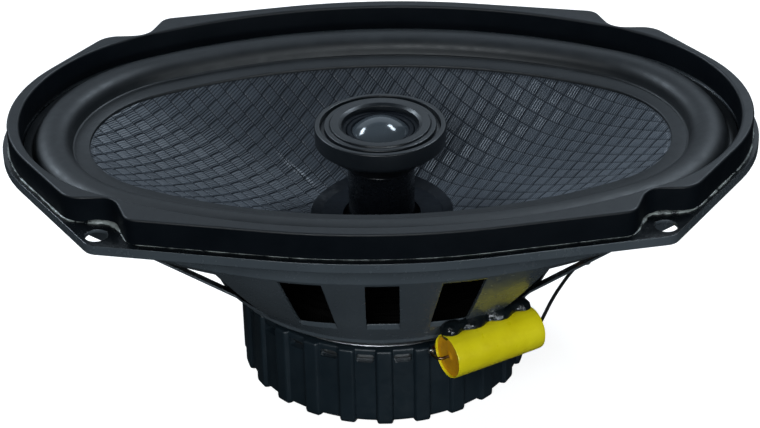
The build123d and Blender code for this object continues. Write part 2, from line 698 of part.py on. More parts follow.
def make_solder_joints(pieces):
    """Solder at the two terminals and where the capacitor's inner lead meets its wire."""
    tail_z = BOARD_THICKNESS + TERMINAL_THICKNESS / 2
    places = [board_point(-13.6, -TERMINAL_Y - 3.15, tail_z), board_point(-13.6, TERMINAL_Y - 2.4, tail_z),
              capacitor_point(-16.3, 7.9, -2.25)]
    joints = []
    for place, radius in zip(places, (1.3, 1.3, 1.0)):
        joint = Pos(*place) * Sphere(radius)
        for piece in pieces:
            joint -= piece
        joints.append(joint.solids().sort_by(SortBy.VOLUME)[-1])
    return Compound(children=joints)


def save(node, body):
    body.label = node
    export_step(body, "parts/" + node + ".step")


def main():
    os.makedirs("parts", exist_ok=True)
    save("basket", make_basket())
    save("basket_rivets", make_basket_rivets())
    save("gasket_ring", make_gasket_ring())
    save("surround", make_surround())
    save("cone", make_cone())
    save("neck_ring", make_neck_ring())
    save("spider", make_spider())
    save("voice_coil_former", make_former())
    save("voice_coil_winding", make_winding())
    save("top_plate", make_top_plate())
    save("magnet_ring", make_magnet())
    save("yoke", make_yoke())
    save("shorting_ring", make_shorting_ring())
    save("magnet_boot", make_boot())
    save("tweeter_stem", make_stem())
    save("stem_lock_nut", make_lock_nut())
    save("stem_washer", make_washer())
    save("tweeter_cup", make_tweeter_cup())
    save("tweeter_trim_ring", make_trim_ring())
    save("tweeter_clamp_ring", make_clamp_ring())
    save("tweeter_suspension", make_suspension())
    save("tweeter_dome", make_dome())
    save("tweeter_coil_former", make_tweeter_former())
    save("tweeter_coil_winding", make_tweeter_winding())
    save("tweeter_pole_plate", make_pole_plate())
    save("tweeter_magnet", make_tweeter_magnet())
    save("tweeter_pot", make_tweeter_pot())
    save("tweeter_damping_pad", make_damping_pad())
    save("capacitor", make_capacitor())
    save("glue_bead", make_glue())
    save("terminal_board", make_terminal_board())
    save("terminal_rivets", make_terminal_rivets())
    save("cone_eyelets", make_cone_eyelets())
    save("tinsel_lead_positive", make_tinsel_lead(-1))
    save("tinsel_lead_negative", make_tinsel_lead(1))
    joined = {
        "terminal_positive": make_terminal(-1, 6.3),
        "terminal_negative": make_terminal(1, 4.8),
        "tweeter_wire_positive": make_tweeter_wire_positive(),
        "tweeter_wire_negative": make_tweeter_wire_negative(),
        "capacitor_lead_inner": make_capacitor_lead_inner(),
        "capacitor_lead_outer": make_capacitor_lead_outer(),
    }
    for node, body in joined.items():
        save(node, body)
    save("solder_joints", make_solder_joints(joined.values()))


main()
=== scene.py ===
import bmesh
import bpy
import math
import numpy as np
from contextlib import contextmanager
from mathutils import Matrix, Vector, noise
from mathutils.bvhtree import BVHTree


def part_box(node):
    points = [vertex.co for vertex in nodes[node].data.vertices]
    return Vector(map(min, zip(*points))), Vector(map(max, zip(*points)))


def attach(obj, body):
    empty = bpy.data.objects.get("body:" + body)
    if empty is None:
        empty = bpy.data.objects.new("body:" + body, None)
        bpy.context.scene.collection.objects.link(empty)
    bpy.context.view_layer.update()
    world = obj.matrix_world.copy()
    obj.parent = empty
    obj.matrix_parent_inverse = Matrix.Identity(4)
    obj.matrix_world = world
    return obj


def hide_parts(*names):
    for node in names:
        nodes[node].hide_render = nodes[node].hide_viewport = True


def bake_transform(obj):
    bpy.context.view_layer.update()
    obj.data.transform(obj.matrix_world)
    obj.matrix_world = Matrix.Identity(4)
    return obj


# Looks of the coaxial speaker.  Shapes are worked out in millimetres, in the frame's own axes,
# and turned into metres when their mesh is made.

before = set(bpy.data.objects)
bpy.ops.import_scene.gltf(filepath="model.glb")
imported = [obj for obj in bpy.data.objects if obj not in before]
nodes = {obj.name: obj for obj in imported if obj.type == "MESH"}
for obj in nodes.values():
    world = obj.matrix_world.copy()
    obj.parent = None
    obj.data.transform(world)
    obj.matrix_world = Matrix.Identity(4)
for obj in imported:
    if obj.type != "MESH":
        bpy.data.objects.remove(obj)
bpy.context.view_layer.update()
MM = 0.001


def node_box(name):
    """A node's lowest and highest corner in millimetres."""
    low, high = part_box(name)
    return low / MM, high / MM


# ---- sizes taken from the frame

gasket_low, gasket_high = node_box("gasket_ring")
surround_low, surround_high = node_box("surround")
boot_low, boot_high = node_box("magnet_boot")
cup_low, cup_high = node_box("tweeter_cup")
spider_low = node_box("spider")[0]

ROLL_PATH = (102.0, 62.0, 50.0)
ROLL_HALF_WIDTH = 5.75
ROLL_THICKNESS = 0.9
LIP_OUTER = (surround_high.x, surround_high.y, 58.6)
RING_INNER = (90.7, 48.7, 34.0)
SEAT_Z = surround_low.z + 1.0
GASKET_OPENING = (111.6, 72.7, 59.0)
CONE_TOP_Z = surround_low.z
CONE_NECK_RADIUS = 19.4
CONE_NECK_Z = -31.0


# ---- mesh helpers

def oval(a, b, end_radius, count=360):
    """Points round an oval of half-length a and half-width b, made of four tangent arcs."""
    if abs(a - b) < 1e-6:
        turn = math.pi / 4
        side_radius = end_radius = a
    else:
        side_radius = (a * a - 2 * a * end_radius + b * b) / (2 * (b - end_radius))
        turn = math.atan2(side_radius - b, a - end_radius)
    arcs = [((a - end_radius, 0), end_radius, -turn, 2 * turn),
            ((0, b - side_radius), side_radius, turn, math.pi - 2 * turn),
            ((end_radius - a, 0), end_radius, math.pi - turn, 2 * turn),
            ((0, side_radius - b), side_radius, math.pi + turn, math.pi - 2 * turn)]
    points = []
    for (x, y), radius, start, sweep in arcs:
        for i in range(count // 4):
            angle = start + sweep * i / (count // 4)
            points.append((x + radius * math.cos(angle), y + radius * math.sin(angle)))
    return np.array(points)


def grown_oval(size, amount, count=360):
    return oval(size[0] + amount, size[1] + amount, size[2] + amount, count)


def oval_reach(size, angles):
    """How far an oval lies from the axis in each direction."""
    line = oval(*size, 1440)
    line_angle = np.arctan2(line[:, 1], line[:, 0])
    order = np.argsort(line_angle)
    reach = np.hypot(line[:, 0], line[:, 1])
    return np.interp(angles, line_angle[order], reach[order], period=2 * math.pi)


def smooth_step(share):
    return share * share * (3 - 2 * share)


def raised(points, z):
    """Plan points lifted to a height, or to one height each."""
    return np.column_stack([points, np.broadcast_to(z, len(points))])


def add_object(name, data):
    made = bpy.data.objects.new(name, data)
    bpy.context.scene.collection.objects.link(made)
    return made


def new_piece(name, vertices, faces, smooth=True):
    mesh = bpy.data.meshes.new(name)
    mesh.from_pydata([tuple(float(c) * MM for c in v) for v in vertices], [], faces)
    mesh.update()
    if smooth:
        mesh.shade_smooth()
    return add_object(name, mesh)


def ring_grid(rings, closed=True, first_pole=None, last_pole=None, start=0):
    """Faces of rings of equal count joined side by side; closed joins the last ring to the first."""
    count = len(rings[0])
    vertices = [tuple(p) for ring in rings for p in ring]
    faces = []
    pairs = len(rings) if closed else len(rings) - 1
    for r in range(pairs):
        a = start + r * count
        b = start + ((r + 1) % len(rings)) * count
        for i in range(count):
            j = (i + 1) % count
            faces.append((a + i, a + j, b + j, b + i))
    for pole, row, turned in ((first_pole, 0, True), (last_pole, len(rings) - 1, False)):
        if pole is not None:
            vertices.append(tuple(pole))
            tip = start + len(vertices) - 1
            base = start + row * count
            for i in range(count):
                j = (i + 1) % count
                faces.append((base + j, base + i, tip) if turned else (base + i, base + j, tip))
    return vertices, faces


CORNER_STEPS = 5


def rounded_profile(points, closed=True):
    """A section with its corners rounded: each point is (radius, z, corner radius)."""
    result = []
    count = len(points)
    for i, (x, y, radius) in enumerate(points):
        here = np.array([x, y], float)
        if radius <= 0 or (not closed and i in (0, count - 1)):
            result.append(here)
            continue
        before = np.array(points[i - 1][:2], float) - here
        after = np.array(points[(i + 1) % count][:2], float) - here
        before_length = np.linalg.norm(before)
        after_length = np.linalg.norm(after)
        before /= before_length
        after /= after_length
        half = math.acos(max(-1.0, min(1.0, float(before @ after)))) / 2
        reach = min(radius / math.tan(half), 0.48 * before_length, 0.48 * after_length)
        radius = reach * math.tan(half)
        middle = before + after
        centre = here + middle / np.linalg.norm(middle) * radius / math.sin(half)
        first = here + before * reach - centre
        last = here + after * reach - centre
        turn = math.atan2(first[0] * last[1] - first[1] * last[0], first @ last)
        for k in range(CORNER_STEPS + 1):
            angle = turn * k / CORNER_STEPS
            c, s = math.cos(angle), math.sin(angle)
            result.append(centre + np.array([c * first[0] - s * first[1], s * first[0] + c * first[1]]))
    return np.array(result)


def lathe(name, points, count=128, closed=True, wobble=None):
    """A body of revolution about Z. An open section starts and ends on the axis."""
    profile = rounded_profile(points, closed)
    angles = 2 * math.pi * np.arange(count) / count
    rings = []
    for radius, z in (profile if closed else profile[1:-1]):
        reach = radius + (wobble(angles, radius, z) if wobble else 0)
        rings.append(np.column_stack([reach * np.cos(angles), reach * np.sin(angles), np.full(count, z)]))
    poles = (None, None) if closed else ((0, 0, profile[0][1]), (0, 0, profile[-1][1]))
    return tidy_mesh(new_piece(name, *ring_grid(rings, closed, *poles)))


@contextmanager
def edited(mesh):
    """Opens a mesh for editing and writes it back."""
    edit = bmesh.new()
    edit.from_mesh(mesh)
    yield edit
    edit.to_mesh(mesh)
    edit.free()


def face_outwards(mesh):
    with edited(mesh) as edit:
        bmesh.ops.recalc_face_normals(edit, faces=edit.faces)


def tidy_mesh(piece, sharp_angle=40):
    """Outward normals, with edges sharper than the angle kept crisp."""
    face_outwards(piece.data)
    piece.data.set_sharp_from_angle(angle=math.radians(sharp_angle))
    return piece


def with_modifiers_applied(piece):
    """Replaces a piece's mesh by what its modifiers make of it."""
    graph = bpy.context.evaluated_depsgraph_get()
    mesh = bpy.data.meshes.new_from_object(piece.evaluated_get(graph))
    piece.modifiers.clear()
    piece.data = mesh


def finish_piece(piece, body, material, replaced=()):
    piece.data.materials.clear()
    piece.data.materials.append(material)
    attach(piece, body)
    if replaced:
        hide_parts(*replaced)
    return piece


# ---- material helpers

class Graph:
    """Short calls for building one material's nodes."""

    def __init__(self, name, **inputs):
        self.material = bpy.data.materials.new(name)
        self.material.use_nodes = True
        self.tree = self.material.node_tree
        self.shader = self.tree.nodes["Principled BSDF"]
        for key, value in inputs.items():
            self.shader.inputs[key.replace("_", " ")].default_value = value
        self.place = self.node("ShaderNodeTexCoord").outputs["Object"]

    def node(self, kind, links=None, **settings):
        made = self.tree.nodes.new(kind)
        for key, value in settings.items():
            setattr(made, key, value)
        for key, value in (links or {}).items():
            socket = made.inputs[key]
            if isinstance(value, bpy.types.NodeSocket):
                self.tree.links.new(value, socket)
            else:
                socket.default_value = value
        return made

    def link(self, output, name):
        self.tree.links.new(output, self.shader.inputs[name])

    def spread(self, name, value, low, high, start=0.3, end=0.7):
        """Feeds a shader input with low where the value is below start and high where it is above end."""
        self.link(self.ramp(value, [(start, low), (end, high)]), name)

    def turned(self, angle):
        """Object coordinates turned about Z."""
        return self.node("ShaderNodeVectorRotate", {"Vector": self.place, "Angle": angle},
                         rotation_type="Z_AXIS").outputs[0]

    def noise(self, scale, detail=4.0, roughness=0.5):
        """Noise with this many waves a millimetre."""
        links = {"Vector": self.place, "Scale": scale / MM, "Detail": detail, "Roughness": roughness}
        return self.node("ShaderNodeTexNoise", links).outputs["Fac"]

    def ramp(self, value, stops):
        """A colour ramp; each stop is (place, colour) with a grey level or an RGB triple."""
        made = self.node("ShaderNodeValToRGB", {"Fac": value})
        elements = made.color_ramp.elements
        while len(elements) < len(stops):
            elements.new(0.5)
        for element, (where, colour) in zip(elements, stops):
            element.position = where
            shade = (colour,) * 3 if isinstance(colour, (int, float)) else colour
            element.color = (*shade, 1.0)
        return made.outputs["Color"]

    def skin(self, colour, roughness, relief):
        """The whole material from three noises: (noise, low, high) for the first two, then (noise, depth)."""
        for name, (texture, *tones) in (("Base Color", colour), ("Roughness", roughness)):
            self.spread(name, self.noise(*texture), *tones)
        texture, depth_mm = relief
        self.bump(self.noise(*texture), depth_mm)
        return self.material

    def upward(self):
        """1 on faces that look straight up, 0.5 on vertical ones and 0 on those that look down."""
        normal = self.node("ShaderNodeNewGeometry").outputs["Normal"]
        facing = self.node("ShaderNodeSeparateXYZ", {"Vector": normal})
        halved = {0: facing.outputs["Z"], 1: 0.5, 2: 0.5}
        return self.node("ShaderNodeMath", halved, operation="MULTIPLY_ADD").outputs[0]

    def maths(self, operation, a, b=0.5):
        return self.node("ShaderNodeMath", {0: a, 1: b}, operation=operation).outputs[0]

    def wave(self, scale, distortion=0.0, **settings):
        """Bands or rings that repeat every 0.314 / scale millimetres."""
        links = {"Vector": self.place, "Scale": scale / MM, "Distortion": distortion}
        return self.node("ShaderNodeTexWave", links, **settings).outputs["Fac"]

    def mixed(self, fac, a, b):
        """Mixes two colours."""
        made = self.node("ShaderNodeMix", data_type="RGBA")
        for socket, value in ((made.inputs[0], fac), (made.inputs[6], a), (made.inputs[7], b)):
            if isinstance(value, bpy.types.NodeSocket):
                self.tree.links.new(value, socket)
            else:
                socket.default_value = (*value, 1.0) if isinstance(value, tuple) else value
        return made.outputs[2]

    def bump(self, height, depth_mm, normal=None):
        """Relief whose full height is depth_mm."""
        links = {"Height": height, "Distance": depth_mm * MM, "Strength": 1.0}
        if normal:
            links["Normal"] = normal
        self.link(self.node("ShaderNodeBump", links).outputs[0], "Normal")


# ---- materials

def painted_steel():
    """Black enamel with a fine orange peel: faces that look up keep the near-black, and faces that look
    sideways or down get a lighter grey, painted light from the pale floor below.
    """
    g = Graph("painted_steel", Roughness=0.4, IOR=1.5)
    mottle = g.noise(0.05, 3)
    glossy = g.ramp(mottle, [(0.3, (0.0028, 0.0042, 0.0055)), (0.7, (0.0045, 0.0062, 0.0078))])
    # painted floor light: the lighter grey on faces that look sideways or down
    painted_floor_light = g.ramp(mottle, [(0.3, (0.052, 0.062, 0.071)), (0.7, (0.066, 0.078, 0.088))])
    g.link(g.mixed(g.ramp(g.upward(), [(0.5, 0.0), (0.6, 1.0)]), painted_floor_light, glossy), "Base Color")
    g.spread("Roughness", g.noise(0.35, 5, 0.6), 0.2, 0.3, end=0.72)
    rounded = g.node("ShaderNodeBevel", {"Radius": 0.5 * MM}, samples=6).outputs[0]
    g.bump(g.noise(0.9, 2, 0.4), 0.03, rounded)
    return g.material


def gasket_rubber():
    """Matte moulded rubber with a fine grain and a little dust."""
    g = Graph("gasket_rubber", Roughness=0.5, IOR=1.48)
    g.spread("Base Color", g.noise(0.06, 5, 0.65), (0.0022, 0.0035, 0.0052), (0.0045, 0.0062, 0.0085), end=0.75)
    g.spread("Roughness", g.noise(0.22, 4, 0.6), 0.44, 0.56, end=0.75)
    g.spread("Specular IOR Level", g.upward(), 0.06, 0.5, 0.55, 0.85)
    g.bump(g.noise(3.2, 3, 0.6), 0.02)
    return g.material


def surround_rubber():
    """Smooth butyl rubber with a soft sheen and faint moulding marks."""
    return Graph("surround_rubber", Roughness=0.5, IOR=1.48).skin(
        colour=((0.08, 4, 0.6), (0.004, 0.0055, 0.0072), (0.0085, 0.0105, 0.0125), 0.3, 0.75),
        roughness=((0.3, 4, 0.6), 0.44, 0.58, 0.3, 0.75), relief=((4.0, 2, 0.5), 0.008))


WEAVE_ANGLE = 50.0
WEAVE_PITCH = 4.2
WEAVE_STEPS = 10
THREADS_PER_SQUARE = 5
CLOTH_REAR_Y = 0.022


def woven_cloth():
    """Coated cloth of squares whose threads all run one way, with open and closed borders in turn.

    The gaps between threads and the borders between squares are darkened with painted shade, and the strands
    are lighter on the fibres' raised parts as a painted highlight.
    Towards +Y, and fully from CLOTH_REAR_Y metres on, the painted shade in the gaps is deeper and the squares
    have painted highlights on their edges.
    """
    g = Graph("woven_cloth", Roughness=0.45, IOR=1.5)
    parts = g.node("ShaderNodeSeparateXYZ", {"Vector": g.turned(-math.radians(WEAVE_ANGLE))})
    plan = g.node("ShaderNodeSeparateXYZ", {"Vector": g.place})
    cells, insides, borders = [], [], []
    for axis in ("X", "Y"):
        count = g.maths("DIVIDE", parts.outputs[axis], WEAVE_PITCH * MM)
        inside = g.maths("FRACT", count, 0.0)
        cells.append(g.maths("FLOOR", count, 0.0))
        insides.append(inside)
        borders.append(g.maths("PINGPONG", inside, 0.5))
    parity = g.maths("PINGPONG", g.maths("ADD", *cells), 1.0)
    across = g.maths("ADD", insides[1], g.maths("MULTIPLY", parity, 0.06))
    threads = g.maths("SINE", g.maths("MULTIPLY", across, THREADS_PER_SQUARE * math.pi), 0.0)
    # painted shade: the gaps between threads are darkened in the colour
    gap = g.maths("SUBTRACT", 1.0, g.ramp(g.maths("ABSOLUTE", threads, 0.0), [(0.2, 0.0), (0.9, 1.0)]))
    # towards +Y the painted shade in the gaps deepens and the squares' edges get painted highlights
    rear_painted_light = g.ramp(plan.outputs["Y"], [(0.0, 0.0), (CLOTH_REAR_Y, 1.0)])
    patches = g.ramp(g.noise(0.12, 3), [(0.35, 0.0), (0.65, 0.25)])
    depth = g.maths("SUBTRACT", g.ramp(rear_painted_light, [(0.0, 0.72), (1.0, 0.97)]), patches)
    edge = g.ramp(g.maths("MINIMUM", *borders), [(0.06, 0.5), (0.12, 0.0)])
    # painted highlight round each square's edges towards +Y
    painted_edge_highlight = g.maths("MULTIPLY", edge, rear_painted_light)
    ridge = g.maths("MAXIMUM", g.maths("SUBTRACT", 1.0, g.maths("MULTIPLY", gap, depth)), painted_edge_highlight)
    # painted shade in the borders between squares
    open_edge = g.ramp(borders[1], [(0.04, 0.0), (0.13, 1.0)])
    closed_edge = g.ramp(borders[1], [(0.02, 0.6), (0.08, 1.0)])
    bundle = g.node("ShaderNodeMix", {0: parity, 2: open_edge, 3: closed_edge}).outputs[0]
    thread_end = g.ramp(borders[0], [(0.015, 0.3), (0.07, 1.0)])
    edges = g.maths("MAXIMUM", g.maths("MULTIPLY", bundle, thread_end), g.maths("MULTIPLY", rear_painted_light, 0.2))
    shade = g.maths("MULTIPLY", ridge, edges)
    cloth = g.ramp(g.noise(0.045, 4, 0.6), [(0.3, (0.036, 0.044, 0.056)), (0.75, (0.056, 0.068, 0.084))])
    fibres = g.noise(2.4, 3, 0.7)
    # painted highlight: the strands are lighter where the fibres stand highest, the same noise that raises them
    strands = g.mixed(g.ramp(fibres, [(0.45, 0.0), (0.8, 0.5)]), cloth, (0.095, 0.11, 0.135))
    # the near-black colour is painted shade, laid in where the shade masks are low
    g.link(g.mixed(shade, (0.002, 0.0035, 0.006), strands), "Base Color")
    g.spread("Roughness", shade, 0.8, 0.42, 0.1, 0.9)
    g.spread("Specular IOR Level", shade, 0.05, 0.6, 0.0, 1.0)
    g.bump(fibres, 0.05)
    return g.material


def glue_paper(name="glue_paper"):
    """The stiffened collar round the voice coil: smooth, with a few brush marks."""
    return Graph(name, Roughness=0.4, IOR=1.5, Specular_IOR_Level=0.1).skin(
        colour=((0.12, 4, 0.6), (0.002, 0.0035, 0.006), (0.005, 0.0075, 0.0115), 0.3, 0.75),
        roughness=((0.5, 4, 0.6), 0.5, 0.7, 0.3, 0.75), relief=((0.8, 4, 0.6), 0.05))


def boot_rubber():
    """Blue-black moulded rubber with a fine texture, polished where it is handled."""
    return Graph("boot_rubber", Roughness=0.42, IOR=1.5).skin(
        colour=((0.07, 5, 0.6), (0.0065, 0.012, 0.0165), (0.0105, 0.018, 0.024), 0.3, 0.75),
        roughness=((0.25, 5, 0.65), 0.34, 0.52, 0.3, 0.75), relief=((2.2, 4, 0.65), 0.03))


def tweeter_plastic(name, low, high, rough_low, rough_high):
    """Smooth moulded plastic with faint handling marks."""
    return Graph(name, Roughness=0.3, IOR=1.5).skin(
        colour=((0.1, 4, 0.6), low, high, 0.3, 0.75),
        roughness=((0.4, 5, 0.65), rough_low, rough_high, 0.3, 0.75), relief=((0.7, 3, 0.5), 0.006))


def dome_film():
    """The coated dome: smooth glossy film whose grey base colour is a painted reflection of the dim light
    behind, with a barely visible cloth grain below.
    """
    g = Graph("dome_film", Roughness=0.14, IOR=1.5)
    grain = g.noise(4.5, 3, 0.6)
    # the grey base colour is painted reflection; the film itself is black
    g.spread("Base Color", grain, (0.046, 0.055, 0.064), (0.060, 0.071, 0.081), 0.35, 0.7)
    g.spread("Roughness", g.noise(0.6, 3), 0.11, 0.18, end=0.75)
    g.bump(grain, 0.004)
    return g.material


def plated_steel(name="plated_steel", tone=(0.55, 0.56, 0.57), rough=0.28):
    """Bright zinc plate with fine turning marks and dull patches."""
    g = Graph(name, Metallic=1.0, Roughness=rough)
    patches = g.noise(0.12, 5, 0.65)
    dark = tuple(0.62 * c for c in tone)
    g.spread("Base Color", patches, dark, tone)
    rings = g.wave(2.2, 0.6, wave_type="RINGS", rings_direction="Z")
    g.spread("Roughness", patches, rough + 0.16, rough)
    g.bump(rings, 0.006)
    return g.material


def ferrite():
    """Pressed and ground ceramic, charcoal grey with small chips."""
    return Graph("ferrite", Roughness=0.7).skin(
        colour=((1.1, 6, 0.7), (0.02, 0.02, 0.022), (0.05, 0.05, 0.054), 0.35, 0.7),
        roughness=((0.5, 4), 0.55, 0.8), relief=((1.6, 6, 0.7), 0.08))


def copper():
    """Enamelled copper laid in close turns along Z, darker in the creases between turns as painted shade."""
    pitch = 0.3
    g = Graph("copper_wire", Metallic=1.0, Roughness=0.28, Coat_Weight=0.5, Coat_Roughness=0.1)
    turns = g.wave(0.1 * math.pi / pitch, wave_type="BANDS", bands_direction="Z")
    # painted shade: the colour darkens where the bands dip between turns
    g.spread("Base Color", turns, (0.28, 0.075, 0.03), (0.72, 0.29, 0.13), 0.2, 0.8)
    g.spread("Roughness", g.noise(0.7, 3), 0.22, 0.38)
    g.bump(turns, 0.05)
    return g.material


def former_foil():
    """Thin rolled aluminium with fine lengthwise lines."""
    g = Graph("former_foil", Metallic=1.0, Roughness=0.35)
    lines = g.noise(1.2, 3)
    g.spread("Base Color", lines, (0.45, 0.46, 0.47), (0.66, 0.67, 0.68))
    g.spread("Roughness", g.noise(0.4, 4), 0.28, 0.45)
    g.bump(lines, 0.01)
    return g.material


def spider_cloth():
    """Loosely woven cotton, coloured near-black as painted shade for the shadowed inside of the basket, and
    darker in the weave's hollows as painted shade.
    """
    g = Graph("spider_cloth", Roughness=0.75, IOR=1.45, Specular_IOR_Level=0.06)
    weave = [g.wave(0.45, 0.4, wave_type="BANDS", bands_direction=direction) for direction in ("X", "Y")]
    cloth = g.maths("MULTIPLY", *weave)
    # near-black colour is painted shade, darker still in the weave's hollows
    g.spread("Base Color", cloth, (0.0015, 0.0014, 0.0013), (0.006, 0.0055, 0.005), 0.1, 0.7)
    g.spread("Roughness", cloth, 0.9, 0.75, 0.1, 0.8)
    g.bump(cloth, 0.12)
    return g.material


def capacitor_film():
    """Yellow polyester film wound round the capacitor, with faint wrinkles and dull patches."""
    g = Graph("capacitor_film", Roughness=0.34, IOR=1.5, Coat_Weight=0.15, Coat_Roughness=0.2)
    wrinkles = g.noise(0.25, 4, 0.6)
    g.spread("Base Color", g.noise(0.12, 3), (0.80, 0.66, 0.006), (0.90, 0.77, 0.012))
    g.spread("Roughness", wrinkles, 0.26, 0.4)
    g.bump(wrinkles, 0.12)
    return g.material


def capacitor_resin():
    """The cast resin that seals each end, orange-yellow and slightly pitted."""
    return Graph("capacitor_resin", Roughness=0.35, IOR=1.52).skin(
        colour=((0.4, 4, 0.6), (0.66, 0.27, 0.004), (0.82, 0.40, 0.008)),
        roughness=((0.7, 3), 0.28, 0.5), relief=((0.9, 5, 0.65), 0.12))


def glue():
    """Thick black adhesive that set glossy, with ripples and a few tiny pits."""
    return Graph("glue", Roughness=0.14, IOR=1.5).skin(
        colour=((0.3, 3), (0.003, 0.0045, 0.0055), (0.007, 0.010, 0.0115)),
        roughness=((0.5, 4, 0.6), 0.08, 0.26, 0.35, 0.7), relief=((0.45, 4, 0.6), 0.35))


def clear_adhesive():
    """Dark translucent contact adhesive with a wet-looking skin, with pale grey-green patches that are painted
    highlights.
    """
    return Graph("clear_adhesive", Roughness=0.12, IOR=1.5).skin(
        # the pale grey-green end of the colour is a painted highlight
        colour=((0.25, 4, 0.65), (0.006, 0.008, 0.009), (0.26, 0.28, 0.265), 0.36, 0.56),
        roughness=((0.6, 4), 0.08, 0.3, 0.35, 0.7), relief=((0.9, 4, 0.6), 0.15))


def lead_wire():
    """Tinned copper lead, coloured a dark brown that is painted reflection of the dark surroundings."""
    return Graph("lead_wire", Metallic=1.0, Roughness=0.35).skin(
        # dark brown colour: painted reflection of the dark surroundings
        colour=((1.1, 5, 0.65), (0.08, 0.04, 0.02), (0.26, 0.17, 0.10)),
        roughness=((1.4, 4), 0.25, 0.5), relief=((1.8, 4, 0.6), 0.03))


def phenolic_board():
    """Brown paper-phenolic board with faint paper fibres."""
    return Graph("phenolic_board", Roughness=0.45, IOR=1.5).skin(
        colour=((0.8, 6, 0.7), (0.07, 0.03, 0.012), (0.13, 0.06, 0.024), 0.35, 0.7),
        roughness=((0.5, 4), 0.38, 0.58), relief=((1.5, 4, 0.6), 0.02))


def tinned_brass():
    """Stamped brass under a thin bright tin plate, yellow where it has worn."""
    g = Graph("tinned_brass", Metallic=1.0, Roughness=0.28)
    wear = g.noise(0.35, 5, 0.7)
    g.spread("Base Color", wear, (0.62, 0.60, 0.55), (0.68, 0.52, 0.26), 0.35, 0.72)
    g.spread("Roughness", g.noise(0.8, 4), 0.22, 0.42)
    g.bump(g.noise(1.2, 4, 0.6), 0.015)
    return g.material


def braided_copper():
    """Fine bright copper strands."""
    return Graph("braided_copper", Metallic=1.0, Roughness=0.32).skin(
        colour=((1.5, 4), (0.45, 0.2, 0.09), (0.75, 0.42, 0.22)),
        roughness=((0.9, 3), 0.25, 0.42), relief=((5.0, 2), 0.02))


def wire_sleeve(name, low, high):
    """Soft PVC insulation, slightly dusty."""
    return Graph(name, Roughness=0.4, IOR=1.5).skin(
        colour=((0.5, 4, 0.6), low, high, 0.3, 0.75),
        roughness=((0.8, 4), 0.3, 0.5), relief=((2.0, 3), 0.012))


def solder():
    """Dull silver solder with a frosted skin."""
    return Graph("solder", Metallic=1.0, Roughness=0.3).skin(
        colour=((1.0, 5, 0.65), (0.42, 0.42, 0.41), (0.68, 0.68, 0.66)),
        roughness=((1.4, 4), 0.2, 0.45), relief=((1.2, 4, 0.6), 0.06))


def felt():
    """Short grey felt."""
    g = Graph("felt", Roughness=0.95, Sheen_Weight=0.3)
    g.spread("Base Color", g.noise(2.5, 6, 0.75), (0.02, 0.02, 0.02), (0.07, 0.07, 0.068))
    g.bump(g.noise(2.8, 6, 0.75), 0.2)
    return g.material


# ---- gasket

def node_outline(name, z):
    """The ordered outer outline of a node's flat face at a height, in millimetres."""
    edit = bmesh.new()
    edit.from_mesh(nodes[name].data)
    bmesh.ops.remove_doubles(edit, verts=edit.verts, dist=1e-7)
    edges = []
    for edge in edit.edges:
        level = all(abs(v.co.z / MM - z) < 1e-3 for v in edge.verts)
        if level and sum(abs(f.normal.z) > 0.99 for f in edge.link_faces) == 1:
            edges.append(edge)
    neighbours = {}
    for edge in edges:
        a, b = edge.verts
        neighbours.setdefault(a, []).append(b)
        neighbours.setdefault(b, []).append(a)
    outlines = []
    left = set(neighbours)
    while left:
        start = min(left, key=lambda v: v.index)
        loop = [start]
        left.discard(start)
        while True:
            step = [v for v in neighbours[loop[-1]] if v in left]
            if not step:
                break
            loop.append(step[0])
            left.discard(step[0])
        outlines.append(np.array([(v.co.x / MM, v.co.y / MM) for v in loop]))
    edit.free()
    return max(outlines, key=lambda outline: np.ptp(outline[:, 0]))


def resampled(outline, spacing):
    """The outline walked anticlockwise at an even spacing from its +X end."""
    area = np.sum(outline[:, 0] * np.roll(outline[:, 1], -1) - np.roll(outline[:, 0], -1) * outline[:, 1])
    if area < 0:
        outline = outline[::-1]
    first = int(np.argmax(outline[:, 0] - np.abs(outline[:, 1])))
    outline = np.roll(outline, -first, axis=0)
    closed = np.vstack([outline, outline[:1]])
    along = np.concatenate([[0], np.cumsum(np.linalg.norm(np.diff(closed, axis=0), axis=1))])
    count = int(round(along[-1] / spacing))
    at = along[-1] * np.arange(count) / count
    return np.column_stack([np.interp(at, along, closed[:, k]) for k in (0, 1)])


def smoothed(outline, rounds):
    for _ in range(rounds):
        outline = 0.5 * outline + 0.25 * (np.roll(outline, 1, axis=0) + np.roll(outline, -1, axis=0))
    return outline


def outward_normals(outline):
    tangent = np.roll(outline, -1, axis=0) - np.roll(outline, 1, axis=0)
    normal = np.column_stack([tangent[:, 1], -tangent[:, 0]])
    return normal / np.linalg.norm(normal, axis=1)[:, None]


def edge_rings(outline, side, base_z, top_z, radius):
    """Rings up a wall and round its top edge; side is 1 where the body lies inside the outline."""
    steps = 6
    normal = outward_normals(outline)
    radius = np.asarray(radius)[:, None]
    rings = [raised(outline, base_z)]
    for k in range(steps + 1):
        angle = math.pi / 2 * k / steps
        inset = radius * (1 - math.cos(angle))
        height = top_z - radius + radius * math.sin(angle)
        rings.append(np.column_stack([outline - side * normal * inset, height]))
    rings.append(raised(outline - side * normal * (radius * 1.3), top_z))
    return rings


